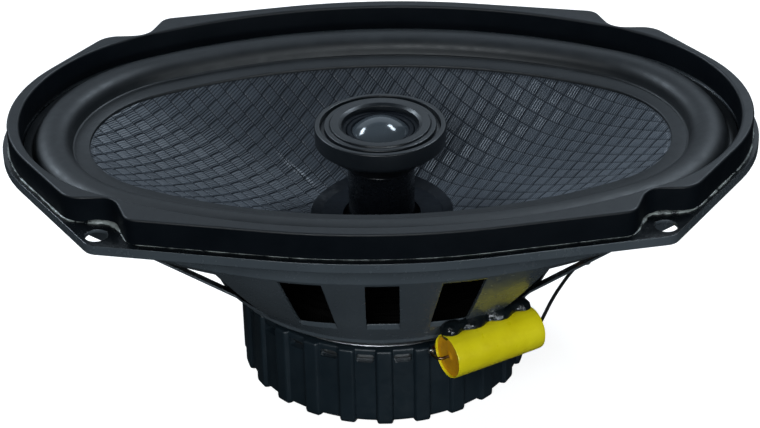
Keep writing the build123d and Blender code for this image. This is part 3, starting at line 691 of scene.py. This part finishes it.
def make_gasket(material):
    """The moulded ring, with its walls' top edges rounded and its flat faces filled between them."""
    outer = smoothed(resampled(node_outline("gasket_ring", gasket_low.z), 0.8), 1)
    inner = oval(*GASKET_OPENING, 720)
    vertices, faces = [], []
    for outline, other, side, largest in ((outer, inner, 1, 0.7), (inner, outer, -1, 0.9)):
        gap = np.min(np.linalg.norm(outline[:, None, :] - other[None, :, :], axis=2), axis=1)
        radius = smoothed(np.minimum(largest, 0.3 * gap), 12)
        rings = edge_rings(outline, side, gasket_low.z, gasket_high.z, radius)
        more, quads = ring_grid(rings, closed=False, start=len(vertices))
        vertices += more
        faces += quads
    piece = new_piece("gasket_moulding", vertices, faces)
    with edited(piece.data) as edit:
        for level in (gasket_high.z, gasket_low.z):
            border = [e for e in edit.edges if len(e.link_faces) == 1
                      and all(abs(v.co.z / MM - level) < 1e-3 for v in e.verts)]
            bmesh.ops.triangle_fill(edit, edges=border, use_beauty=True, normal=(0, 0, 1))
    tidy_mesh(piece, 35)
    finish_piece(piece, "basket", material, ["gasket_ring"])


# ---- surround, cone and spider

def radial_blend(piece):
    """Bakes a ring's placement into its mesh."""
    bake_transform(piece)


def make_surround(material):
    """The rubber half roll with its outer lip and the flat ring glued to the cone."""
    height = surround_high.z - SEAT_Z
    foot = ROLL_HALF_WIDTH + 0.45
    ring_z = 0.25
    sections = [(LIP_OUTER, 0, 0.0), (LIP_OUTER, 0, ROLL_THICKNESS - 0.2), (LIP_OUTER, -0.2, ROLL_THICKNESS),
                (ROLL_PATH, foot + 0.5, ROLL_THICKNESS), (ROLL_PATH, foot, ROLL_THICKNESS + 0.12)]
    steps = 28
    for k in range(1, steps):
        angle = math.pi * k / steps
        across = ROLL_HALF_WIDTH * math.cos(angle)
        low = ROLL_THICKNESS if across > 0 else ring_z
        sections.append((ROLL_PATH, across, low + 0.3 + (height - low - 0.3) * math.sin(angle) ** 0.92))
    sections += [(ROLL_PATH, -foot + 0.1, 0.3), (ROLL_PATH, -foot - 0.35, 0.2), (ROLL_PATH, -foot - 0.5, 0.0),
                 (RING_INNER, ring_z, 0.0), (RING_INNER, 0, -ring_z),
                 (RING_INNER, 0, -1.0), (ROLL_PATH, -foot, -1.0)]
    under_steps = 16
    for k in range(under_steps, -1, -1):
        angle = math.pi * k / under_steps
        across = (ROLL_HALF_WIDTH - ROLL_THICKNESS) * math.cos(angle)
        sections.append((ROLL_PATH, across, (height - ROLL_THICKNESS) * math.sin(angle)))
    vertices, faces = ring_grid([raised(grown_oval(size, growth, 720), z) for size, growth, z in sections])
    piece = new_piece("surround_roll", vertices, faces)
    piece.data.transform(Matrix.Translation((0, 0, SEAT_Z * MM)))
    tidy_mesh(piece, 50)
    piece.data.materials.append(material)
    radial_blend(piece)
    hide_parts("surround")


def cone_height_tree(outer_margin):
    """The cone's own ruled surface, continued level outside its top edge, for looking up heights."""
    rings = [raised(grown_oval(RING_INNER, outer_margin, 1440), CONE_TOP_Z),
             raised(oval(*RING_INNER, 1440), CONE_TOP_Z),
             raised(oval(CONE_NECK_RADIUS, CONE_NECK_RADIUS, CONE_NECK_RADIUS, 1440), CONE_NECK_Z)]
    return BVHTree.FromPolygons(*ring_grid(rings, closed=False))


def weave_height(u, v):
    """Relief of the cloth at weave coordinates counted in mesh steps, in millimetres."""
    groove_z, rib_height, crown_height, cell_height = -0.34, 0.16, 0.12, 0.08
    iu, iv = u % WEAVE_STEPS, v % WEAVE_STEPS
    groove = (iu == 0) | (iv == 0)
    raised_cell = (u // WEAVE_STEPS + v // WEAVE_STEPS) % 2
    crown = np.sin(math.pi * iu / WEAVE_STEPS) ** 0.5
    ribs = -rib_height + rib_height * (iv % 2)
    return np.where(groove, groove_z, ribs + crown_height * crown + cell_height * raised_cell)


def make_cone_cloth(material):
    """The woven face of the cone: a closed skin whose squares and threads are real relief."""
    margin, fade_width = 1.6, 1.2
    clearance, rim_drop, thickness = 0.06, 0.35, 0.5
    tree = cone_height_tree(margin + 2)
    step = WEAVE_PITCH / WEAVE_STEPS
    reach = int(math.ceil((RING_INNER[0] + margin + 2) / step / WEAVE_STEPS)) * WEAVE_STEPS
    span = np.arange(-reach, reach + 1)
    grid_u, grid_v = np.meshgrid(span, span, indexing="ij")
    angle = math.radians(WEAVE_ANGLE)
    x = step * (grid_u * math.cos(angle) - grid_v * math.sin(angle))
    y = step * (grid_u * math.sin(angle) + grid_v * math.cos(angle))
    outer = oval_reach([size + margin for size in RING_INNER], np.arctan2(y, x))
    radius = np.hypot(x, y)
    kept = (radius < outer) & (radius > CONE_NECK_RADIUS + 0.05)
    cell_kept = kept[:-1, :-1] & kept[1:, :-1] & kept[:-1, 1:] & kept[1:, 1:]
    used = np.zeros_like(kept)
    for du in (0, 1):
        for dv in (0, 1):
            used[du:du + cell_kept.shape[0], dv:dv + cell_kept.shape[1]] |= cell_kept
    index = -np.ones(kept.shape, int)
    index[used] = np.arange(used.sum())
    relief = weave_height(grid_u, grid_v)
    fade = np.clip((outer - margin - radius) / fade_width, 0, 1)
    vertices = []
    for px, py, lift, share in zip(x[used], y[used], relief[used], fade[used]):
        hit = tree.ray_cast(Vector((px, py, 30)), Vector((0, 0, -1)))
        z = hit[0].z if hit[0] else CONE_TOP_Z
        vertices.append((px, py, z + clearance + lift * share - rim_drop * (1 - share)))
    faces = [(index[i, j], index[i + 1, j], index[i + 1, j + 1], index[i, j + 1])
             for i, j in np.argwhere(cell_kept)]
    piece = new_piece("cone_cloth", vertices, faces, smooth=False)
    with edited(piece.data) as edit:
        border = [e for e in edit.edges if len(e.link_faces) == 1]
        made = bmesh.ops.extrude_edge_only(edit, edges=border)
        lower = [e for e in made["geom"] if isinstance(e, bmesh.types.BMEdge) and len(e.link_faces) == 1]
        for vertex in {v for e in lower for v in e.verts}:
            vertex.co.z -= thickness * MM
        bmesh.ops.bridge_loops(edit, edges=lower)
    face_outwards(piece.data)
    finish_piece(piece, "cone", material, ())


def make_spider(material):
    """The corrugated disc that centres the voice coil."""
    rolls, start, end = 6, 22.0, 43.0
    inner, outer = 18.85, 49.5
    thickness = 0.4
    level = spider_low.z + thickness
    top = [(inner, level), (start - 0.8, level)]
    for i in range(rolls * 12 + 1):
        radius = start + (end - start) * i / (rolls * 12)
        top.append((radius, level + 0.6 * (1 - math.cos(2 * math.pi * i / 12))))
    top += [(end + 1, level), (outer, level)]
    bottom = [(radius, z - thickness) for radius, z in reversed(top)]
    profile = [(radius, z, 0) for radius, z in top + bottom]
    piece = lathe("spider_disc", profile, 240)
    piece.data.materials.append(material)
    radial_blend(piece)
    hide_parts("spider")


# ---- boot

BOOT_RIBS = 24
BOOT_MOUTH = 42.6
BOOT_BORE = 11.0


def boot_rings():
    """The boot's sections from its mouth, down its ribbed side, across its foot and back up inside."""
    count = BOOT_RIBS * 30
    angles = 2 * math.pi * np.arange(count) / count
    top, bottom = boot_high.z, boot_low.z
    panel, rib = 44.9, boot_high.x
    lip, foot = 0.7, 1.9
    away = (angles / (2 * math.pi / BOOT_RIBS) + 0.5) % 1 - 0.5
    arc = np.abs(away) * 2 * math.pi / BOOT_RIBS * rib
    lobe = smooth_step(np.clip((2.9 - arc) / 0.7, 0, 1))
    outline = panel + (rib - panel) * lobe
    sections = [(BOOT_MOUTH, top - 0.3), (BOOT_MOUTH + 0.3, top)]
    for k in range(5):
        turn = math.pi / 2 * k / 4
        sections.append((outline - lip * (1 - math.sin(turn)), top - lip * (1 - math.cos(turn))))
    sections += [(outline, top - lip - (top - bottom - lip - foot) * k / 12) for k in range(1, 12)]
    for k in range(9):
        turn = math.pi / 2 * k / 8
        pull = foot * (1 - math.cos(turn)) * (1.3 - 0.8 * lobe)
        sections.append((outline - pull, bottom + foot - foot * math.sin(turn)))
    sections += [(reach, bottom + lift) for reach, lift in (
        (38.5, 0), (38.2, 0.35), (31.0, 0.35), (30.7, 0), (14.2, 0), (13.8, 0.3), (11.3, 0.3),
        (BOOT_BORE, 0.6), (BOOT_BORE, 1.5), (BOOT_MOUTH, 1.5))]
    return [np.column_stack([reach * np.cos(angles), reach * np.sin(angles), np.broadcast_to(z, count)])
            for reach, z in sections]


def window_cutters():
    """Blocks with rounded corners, laid outwards, one between each pair of ribs."""
    depth, width, height, corner, drop = 8, 5.6, 2.9, 0.9, 3.3
    size = Matrix.Diagonal((depth * MM, width * MM, height * MM, 1))
    shift = Matrix.Translation((BOOT_MOUTH * MM, 0, (boot_high.z - drop) * MM))
    cutters = bmesh.new()
    for i in range(BOOT_RIBS):
        part = bmesh.ops.create_cube(cutters, size=1.0)["verts"]
        corner_edges = [e for e in {e for v in part for e in v.link_edges}
                        if abs(e.verts[0].co.x - e.verts[1].co.x) > 0.5]
        bmesh.ops.transform(cutters, matrix=size, verts=part)
        rounded = bmesh.ops.bevel(cutters, geom=corner_edges, offset=corner * MM, segments=4,
                                  affect="EDGES", profile=0.5)
        turn = Matrix.Rotation((i + 0.5) * 2 * math.pi / BOOT_RIBS, 4, "Z")
        members = {v for f in rounded["faces"] for v in f.verts} | {v for v in part if v.is_valid}
        linked = set(members)
        for v in members:
            linked |= {o for e in v.link_edges for o in e.verts}
        bmesh.ops.transform(cutters, matrix=turn @ shift, verts=list(linked))
    mesh = bpy.data.meshes.new("window_cutters")
    cutters.to_mesh(mesh)
    cutters.free()
    return add_object("window_cutters", mesh)


def make_boot(material):
    """The ribbed rubber cover, its windows cut through between the ribs."""
    boot = tidy_mesh(new_piece("boot_moulding", *ring_grid(boot_rings())), 50)
    cutter = window_cutters()
    cut = boot.modifiers.new("windows", "BOOLEAN")
    cut.operation = "DIFFERENCE"
    cut.object = cutter
    cut.solver = "EXACT"
    with_modifiers_applied(boot)
    bpy.data.objects.remove(cutter)
    boot.data.shade_smooth()
    boot.data.set_sharp_from_angle(angle=math.radians(42))
    finish_piece(boot, "basket", material, ["magnet_boot"])


# ---- tweeter

DOME_RADIUS = 8.8
CLAMP_INNER, CLAMP_OUTER = 10.9, 16.3


def make_tweeter_housing(satin, rubber):
    """The cup with its trim ring and the ring that clamps the suspension."""
    rim, rim_z = cup_high.x, cup_high.z
    skirt_z, foot_z = -3.8, cup_low.z
    bore, well, wall = 3.0, 12.0, 18.9
    ledge_z, well_z = -0.3, -9.0
    cup = lathe("tweeter_housing", [
        (bore, foot_z, 0.3), (11.0, foot_z, 0.5), (12.6, foot_z + 1.6, 1.2), (wall, skirt_z - 1.0, 0.8),
        (wall, skirt_z - 0.2, 0.15), (19.6, skirt_z - 0.1, 0.3), (rim, skirt_z + 0.3, 0.6), (rim, rim_z, 0.45),
        (wall, rim_z, 0.25), (wall, ledge_z, 0.2), (well, ledge_z, 0.1), (well, well_z, 0.1),
        (bore, well_z, 0.1)], 192)
    finish_piece(cup, "basket", satin, ["tweeter_cup"])
    trim = lathe("tweeter_bezel", [
        (16.5, ledge_z, 0.1), (18.8, ledge_z, 0.1), (18.8, 0.6, 0.15), (17.6, 0.6, 0.1), (17.6, 2.2, 0.35),
        (16.1, 2.2, 0.15), (15.9, 1.9, 0.1), (15.7, 2.7, 0.3), (13.2, 2.7, 0.4), (12.1, 2.0, 0.2),
        (well, 0.5, 0.1), (16.5, 0.5, 0.1)], 192)
    finish_piece(trim, "basket", satin, ["tweeter_trim_ring"])
    clamp = lathe("tweeter_clamp", [
        (CLAMP_INNER, 0.0, 0.05), (CLAMP_OUTER, 0.0, 0.05), (CLAMP_OUTER, 0.5, 0.05),
        (11.6, 0.5, 0.2), (CLAMP_INNER, 0.25, 0.1)], 160)
    finish_piece(clamp, "basket", rubber, ["tweeter_clamp_ring"])


def make_dome_suspension(rubber):
    """The small half roll that carries the dome."""
    middle, height = 9.85, 0.7
    low, level = -0.3, -0.15
    roll = [(8.6, low), (8.6, level), (8.95, level)]
    for k in range(13):
        angle = math.pi * (1 - k / 12)
        roll.append((middle + 0.85 * math.cos(angle), level + height * math.sin(angle)))
    roll += [(10.8, 0.0), (CLAMP_OUTER, 0.0), (CLAMP_OUTER, low), (10.55, low)]
    for k in range(13):
        angle = math.pi * k / 12
        roll.append((middle + 0.7 * math.cos(angle), low + height * math.sin(angle)))
    suspension = lathe("dome_suspension", [(r, z, 0) for r, z in roll], 128)
    suspension.data.materials.append(rubber)
    radial_blend(suspension)
    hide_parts("tweeter_suspension")


def make_dome(film):
    """The dome, a thin cap of a sphere."""
    radius, height = DOME_RADIUS, 4.0
    sphere = (radius ** 2 + height ** 2) / (2 * height)
    edge = math.asin(radius / sphere)
    outside = [(sphere * math.sin(edge * k / 24), height - 0.15 - sphere + sphere * math.cos(edge * k / 24))
               for k in range(25)]
    inside = [(r * 0.972, z - 0.25) for r, z in reversed(outside)]
    dome = lathe("dome_cap", [(r, z, 0) for r, z in outside + inside], 128, closed=False)
    finish_piece(dome, "tweeter_dome", film, ["tweeter_dome"])


def make_stem(plastic):
    """The post that carries the tweeter through the voice coil."""
    low, high = node_box("tweeter_stem")
    collar_z, plate_z, head_z = -36.8, -52.5, high.z - 0.9
    bore, shank, post, head, collar = 3.0, 4.9, 10.5, 11.0, 12.3
    stem = lathe("tweeter_post", [
        (bore, low.z, 0.2), (shank, low.z, 0.4), (shank, plate_z, 0.1), (collar, plate_z, 0.3),
        (collar, collar_z, 0.9), (post, collar_z, 0.15), (post, head_z, 0.2), (head, head_z, 0.25),
        (head, high.z, 0.25), (bore, high.z, 0.1)], 128)
    finish_piece(stem, "basket", plastic, ["tweeter_stem"])


# ---- capacitor

CAPACITOR_CENTRE = (32.4, -49.2, -47.0)
CAPACITOR_ANGLE = 30.2
CAPACITOR_RADIUS = 7.0
CAPACITOR_LENGTH = 31.0


def lay_along_capacitor(piece):
    """Turns a piece made about Z to lie along the capacitor."""
    turn = Matrix.Rotation(math.radians(CAPACITOR_ANGLE), 4, "Z") @ Matrix.Rotation(math.radians(90), 4, "Y")
    piece.data.transform(Matrix.Translation(Vector(CAPACITOR_CENTRE) * MM) @ turn)


def make_capacitor(film, resin):
    """The wound film with its seam and drawn-in ends, and the resin cast into each end."""
    half = CAPACITOR_LENGTH / 2
    outer = CAPACITOR_RADIUS
    plug = outer - 0.5
    seam = math.radians(200)

    def wrinkled(angles, radius, z):
        if radius < outer - 0.3:
            return 0
        ends = max(0.0, abs(z) - half + 2.5) / 2.5
        lobes = 0.10 * np.sin(3 * angles + 1.1) + 0.07 * np.sin(7 * angles + z)
        past_seam = ((angles - seam) % (2 * math.pi)) / (2 * math.pi)
        overlap = np.clip(past_seam * 40, 0, 1) * np.clip((0.5 - past_seam) * 2, 0, 1)
        return -0.12 + ends * lobes * 0.7 + 0.1 * overlap

    sections = [(outer - 0.45, -half + 0.05, 0.1), (outer - 0.1, -half, 0.12)]
    sections += [(outer, -half + 0.5 + (CAPACITOR_LENGTH - 1) * k / 14, 0) for k in range(15)]
    sections += [(outer - 0.1, half, 0.12), (outer - 0.45, half - 0.05, 0.1)]
    wrap = lathe("capacitor_wrap", sections, 144, wobble=wrinkled)
    lay_along_capacitor(wrap)
    finish_piece(wrap, "basket", film, ["capacitor"])
    for side, end in ((-1, "left"), (1, "right")):
        face = side * (half - 0.85)
        cap = lathe("capacitor_end_" + end, [
            (0, face + side * 0.35, 0), (0.8, face + side * 0.3, 0), (1.6, face, 0.5),
            (5.2, face - side * 0.15, 1.5), (plug, face + side * 0.3, 0.3), (plug, face - side * 3, 0),
            (0, face - side * 3, 0)], 96, closed=False)
        lay_along_capacitor(cap)
        finish_piece(cap, "basket", resin, ())


def melted(name, balls):
    """A lump of set adhesive: balls melted together, smoothed and rippled."""
    mesh = bpy.data.meshes.new(name)
    with edited(mesh) as edit:
        for centre, radius in balls:
            bmesh.ops.create_icosphere(edit, subdivisions=3, radius=radius * MM,
                                       matrix=Matrix.Translation(Vector(centre) * MM))
    piece = add_object(name, mesh)
    melt = piece.modifiers.new("melt", "REMESH")
    melt.mode = "VOXEL"
    melt.voxel_size = 0.3 * MM
    melt.use_smooth_shade = True
    relax = piece.modifiers.new("relax", "SMOOTH")
    relax.iterations = 8
    with_modifiers_applied(piece)
    for vertex in piece.data.vertices:
        ripple = noise.noise(vertex.co * 230) + 0.35 * noise.noise(vertex.co * 700)
        vertex.co += vertex.normal * (ripple * 0.4 * MM)
    piece.data.shade_smooth()
    return piece


def capacitor_point(along, inward, up):
    angle = math.radians(CAPACITOR_ANGLE)
    x, y, z = CAPACITOR_CENTRE
    return (x + along * math.cos(angle) - inward * math.sin(angle),
            y + along * math.sin(angle) + inward * math.cos(angle), z + up)


def make_glue(material):
    """The ribbon of adhesive that holds the capacitor to the basket."""
    count, start, length = 44, -12.6, 25.4
    balls = []
    for k in range(count):
        along = start + length * k / (count - 1)
        wander = 0.5 * math.sin(0.55 * k) + 0.5 * math.sin(0.23 * k + 1)
        balls.append((capacitor_point(along, 2.9 + 0.5 * math.sin(0.37 * k), 6.6 + 0.3 * wander),
                      2.9 + 0.35 * math.sin(0.41 * k + 2)))
    finish_piece(melted("glue_line", balls), "basket", material, ["glue_bead"])


def make_gasket_adhesive(material):
    """The thin line of adhesive squeezed out round the gasket's foot, thickest in the corner notches."""
    spacing = 0.9
    notch_start, notch_end = 73, 90
    outline = smoothed(resampled(node_outline("gasket_ring", gasket_low.z), spacing), 2)
    normal = outward_normals(outline)
    along = np.arange(len(outline)) * spacing
    size = 0.5 + 0.14 * np.sin(0.31 * along) + 0.1 * np.sin(0.83 * along + 2) + 0.07 * np.sin(2.1 * along)
    x = np.abs(outline[:, 0])
    size *= 0.2 + 1.3 * np.clip((x - notch_start) / 3, 0, 1) * np.clip((notch_end - x) / 5, 0.4, 1)
    rings = []
    for k in range(8):
        turn = 2 * math.pi * k / 8
        out = outline + normal * (size * (0.35 + math.cos(turn)))[:, None]
        rings.append(np.column_stack([out, 0.18 + 0.8 * size * math.sin(turn)]))
    vertices, faces = ring_grid(rings)
    finish_piece(tidy_mesh(new_piece("gasket_adhesive", vertices, faces), 80), "basket", material, ())


def make_top_plate(material):
    low, high = node_box("top_plate")
    bore = 19.75
    plate = lathe("front_plate", [(bore, low.z, 0.2), (high.x, low.z, 0.3), (high.x, high.z, 0.9),
                                  (bore, high.z, 0.2)], 256)
    finish_piece(plate, "basket", material, ["top_plate"])


# ---- leads

def along_route(points, count):
    """Evenly spaced points on a smooth curve through a route, in millimetres."""
    curve = bpy.data.curves.new("route", "CURVE")
    curve.dimensions = "3D"
    spline = curve.splines.new("NURBS")
    spline.points.add(len(points) - 1)
    for target, point in zip(spline.points, points):
        target.co = (*point, 1)
    spline.order_u = 3
    spline.use_endpoint_u = True
    spline.resolution_u = 24
    holder = add_object("route", curve)
    mesh = bpy.data.meshes.new_from_object(holder)
    line = np.array([v.co for v in mesh.vertices])
    bpy.data.objects.remove(holder)
    bpy.data.curves.remove(curve)
    bpy.data.meshes.remove(mesh)
    along = np.concatenate([[0], np.cumsum(np.linalg.norm(np.diff(line, axis=0), axis=1))])
    at = np.linspace(0, along[-1], count)
    return np.column_stack([np.interp(at, along, line[:, k]) for k in range(3)])


def carried_frames(line):
    """A steady pair of side directions at each point of a line."""
    tangent = np.gradient(line, axis=0)
    tangent /= np.linalg.norm(tangent, axis=1)[:, None]
    side = np.cross(tangent[0], (0.3, 0.2, 0.93))
    side /= np.linalg.norm(side)
    sides, ups = [], []
    for t in tangent:
        side = side - (side @ t) * t
        side /= np.linalg.norm(side)
        sides.append(side)
        ups.append(np.cross(t, side))
    return np.array(sides), np.array(ups)


def tube_along(line, radius, around):
    sides, ups = carried_frames(line)
    turns = 2 * math.pi * np.arange(around) / around
    return [p + radius * (np.cos(turns)[:, None] * s + np.sin(turns)[:, None] * u)
            for p, s, u in zip(line, sides, ups)]


def stranded(name, points, diameter, strands=7, turns=9, count=140):
    """A lead of strands twisted round each other."""
    line = along_route(points, count)
    sides, ups = carried_frames(line)
    strand_radius = diameter * 0.19
    lay_radius = diameter / 2 - strand_radius
    vertices, faces = [], []
    for k in range(strands):
        phase = 2 * math.pi * (k / strands + turns * np.arange(count) / count)
        offset = lay_radius * (np.cos(phase)[:, None] * sides + np.sin(phase)[:, None] * ups)
        rings = tube_along(line + offset, strand_radius, 8)
        more, quads = ring_grid(rings, False, line[0] + offset[0], line[-1] + offset[-1], start=len(vertices))
        vertices += more
        faces += quads
    return tidy_mesh(new_piece(name, vertices, faces), 60)


def make_tinsel_lead(material, side, node):
    """A braided lead from its terminal to the eyelet in the cone."""
    route = [(61.9, 14.5 * side, -39.8), (58.2, 15.0 * side, -34.6), (51.4, 14.6 * side, -32.4),
             (45.0, 13.4 * side, -29.6), (40.5, 12.2 * side, -23.0)]
    lead = stranded(node.replace("lead", "braid"), route, 0.9)
    lead.data.materials.append(material)
    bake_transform(lead)
    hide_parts(node)


# ---- stage

CAMERA_DISTANCE = 0.5782


def make_camera():
    """The main view, from the front and above; azimuth 0 is on -Y."""
    camera = add_object("camera", bpy.data.cameras.new("camera"))
    azimuth, elevation, roll = math.radians(0.42), math.radians(30.62), math.radians(-1.2)
    back = Vector((math.sin(azimuth) * math.cos(elevation), -math.cos(azimuth) * math.cos(elevation),
                   math.sin(elevation)))
    right = Vector((math.cos(azimuth), math.sin(azimuth), 0))
    up = back.cross(right)
    rolled_right = math.cos(roll) * right + math.sin(roll) * up
    rolled_up = back.cross(rolled_right)
    aim = Vector((0, -0.08996, 0.02271))
    rows = [(rolled_right[k], rolled_up[k], back[k], aim[k] + CAMERA_DISTANCE * back[k]) for k in range(3)]
    camera.matrix_world = Matrix((*rows, (0, 0, 0, 1)))
    camera.data.sensor_width = 36
    camera.data.lens = 101.23
    camera.data.clip_start = 0.02
    bpy.context.scene.camera = camera


def soft_light(name, azimuth, elevation, distance, size, power, colour):
    """A softbox aimed at the speaker's middle; azimuth 0 is on +X."""
    data = bpy.data.lights.new(name, "AREA")
    data.shape = "RECTANGLE"
    data.size, data.size_y = size
    data.energy = power
    data.color = colour
    lamp = add_object(name, data)
    a, e = math.radians(azimuth), math.radians(elevation)
    direction = Vector((math.cos(a) * math.cos(e), math.sin(a) * math.cos(e), math.sin(e)))
    lamp.location = Vector((0, 0, -0.02)) + direction * distance
    lamp.rotation_mode = "QUATERNION"
    lamp.rotation_quaternion = direction.to_track_quat("Z", "Y")


def stage_piece(name, vertices, faces, emission):
    """A pale piece of studio that shows behind the speaker but neither lights it nor shows on it."""
    mesh = bpy.data.meshes.new(name)
    mesh.from_pydata(vertices, [], faces)
    piece = add_object(name, mesh)
    g = Graph("pale_" + name, Roughness=0.9)
    g.shader.inputs["Base Color"].default_value = (0.45, 0.45, 0.45, 1)
    g.shader.inputs["Emission Color"].default_value = (1, 1, 1, 1)
    g.shader.inputs["Emission Strength"].default_value = emission
    mesh.materials.append(g.material)
    piece.visible_glossy = False
    piece.visible_diffuse = False


def make_stage():
    """The pale floor and backdrop, the faint world light and the softboxes."""
    floor_z = boot_low.z * MM - 0.0001
    size, height = 6.0, 5.0
    corners = [(-size, -size), (size, -size), (size, size), (-size, size)]
    stage_piece("floor", [(x, y, floor_z) for x, y in corners], [(0, 1, 2, 3)], 0.86)
    stage_piece("backdrop", [(x, y, z) for z in (floor_z, height) for x, y in corners],
                [(k, (k + 1) % 4, 4 + (k + 1) % 4, 4 + k) for k in range(4)], 1.0)
    world = bpy.data.worlds.new("studio")
    bpy.context.scene.world = world
    world.use_nodes = True
    background = world.node_tree.nodes["Background"]
    background.inputs["Color"].default_value = (0.80, 0.92, 1.0, 1)
    background.inputs["Strength"].default_value = 0.02
    cool = (0.80, 0.93, 1.06)
    soft_light("back_wide", 92, 30, 2.2, (3.0, 1.3), 8, cool)
    soft_light("back_left", 147, 39, 1.3, (0.4, 0.2), 7, cool)
    soft_light("back_right", 47, 52, 1.3, (0.44, 0.18), 7, cool)
    soft_light("front_fill", 258, 34, 1.6, (0.7, 0.5), 12, (0.88, 0.95, 1.0))
    soft_light("low_right", 292, 8, 1.4, (0.5, 0.3), 6, (0.85, 0.94, 1.0))
    bpy.context.scene.view_settings.view_transform = "Standard"


# ---- build

cloth_material = woven_cloth()
satin_black = tweeter_plastic("tweeter_satin", (0.005, 0.0068, 0.009), (0.0095, 0.012, 0.0148), 0.3, 0.42)
gloss_black = tweeter_plastic("tweeter_gloss", (0.0012, 0.0018, 0.003), (0.0028, 0.0038, 0.0056), 0.2, 0.36)
roll_film = glue_paper("roll_film")
steel = plated_steel()
tinsel_material = braided_copper()

make_gasket(gasket_rubber())
make_surround(surround_rubber())
make_cone_cloth(cloth_material)
make_spider(spider_cloth())
make_boot(boot_rubber())
make_tweeter_housing(satin_black, roll_film)
make_dome_suspension(roll_film)
make_dome(dome_film())
make_stem(gloss_black)
make_capacitor(capacitor_film(), capacitor_resin())
make_glue(glue())
make_gasket_adhesive(clear_adhesive())
make_top_plate(steel)
make_tinsel_lead(tinsel_material, -1, "tinsel_lead_positive")
make_tinsel_lead(tinsel_material, 1, "tinsel_lead_negative")

for names, material in (
        (("basket",), painted_steel()),
        (("cone",), cloth_material),
        (("neck_ring",), glue_paper()),
        (("voice_coil_former", "tweeter_coil_former"), former_foil()),
        (("voice_coil_winding", "tweeter_coil_winding", "shorting_ring"), copper()),
        (("yoke", "basket_rivets", "stem_lock_nut", "stem_washer", "tweeter_pole_plate", "tweeter_pot"), steel),
        (("magnet_ring",), ferrite()),
        (("tweeter_magnet",), plated_steel("nickel_plate", (0.62, 0.60, 0.56), 0.16)),
        (("tweeter_damping_pad",), felt()),
        (("terminal_board",), phenolic_board()),
        (("terminal_positive", "terminal_negative", "terminal_rivets", "cone_eyelets"), tinned_brass()),
        (("tweeter_wire_positive",), wire_sleeve("sleeve_red", (0.03, 0.006, 0.005), (0.06, 0.013, 0.011))),
        (("tweeter_wire_negative", "capacitor_lead_outer"),
         wire_sleeve("sleeve_black", (0.006, 0.006, 0.0065), (0.013, 0.013, 0.014))),
        (("capacitor_lead_inner",), lead_wire()),
        (("solder_joints",), solder())):
    for name in names:
        mesh = nodes[name].data
        mesh.materials.clear()
        mesh.materials.append(material)

make_camera()
make_stage()
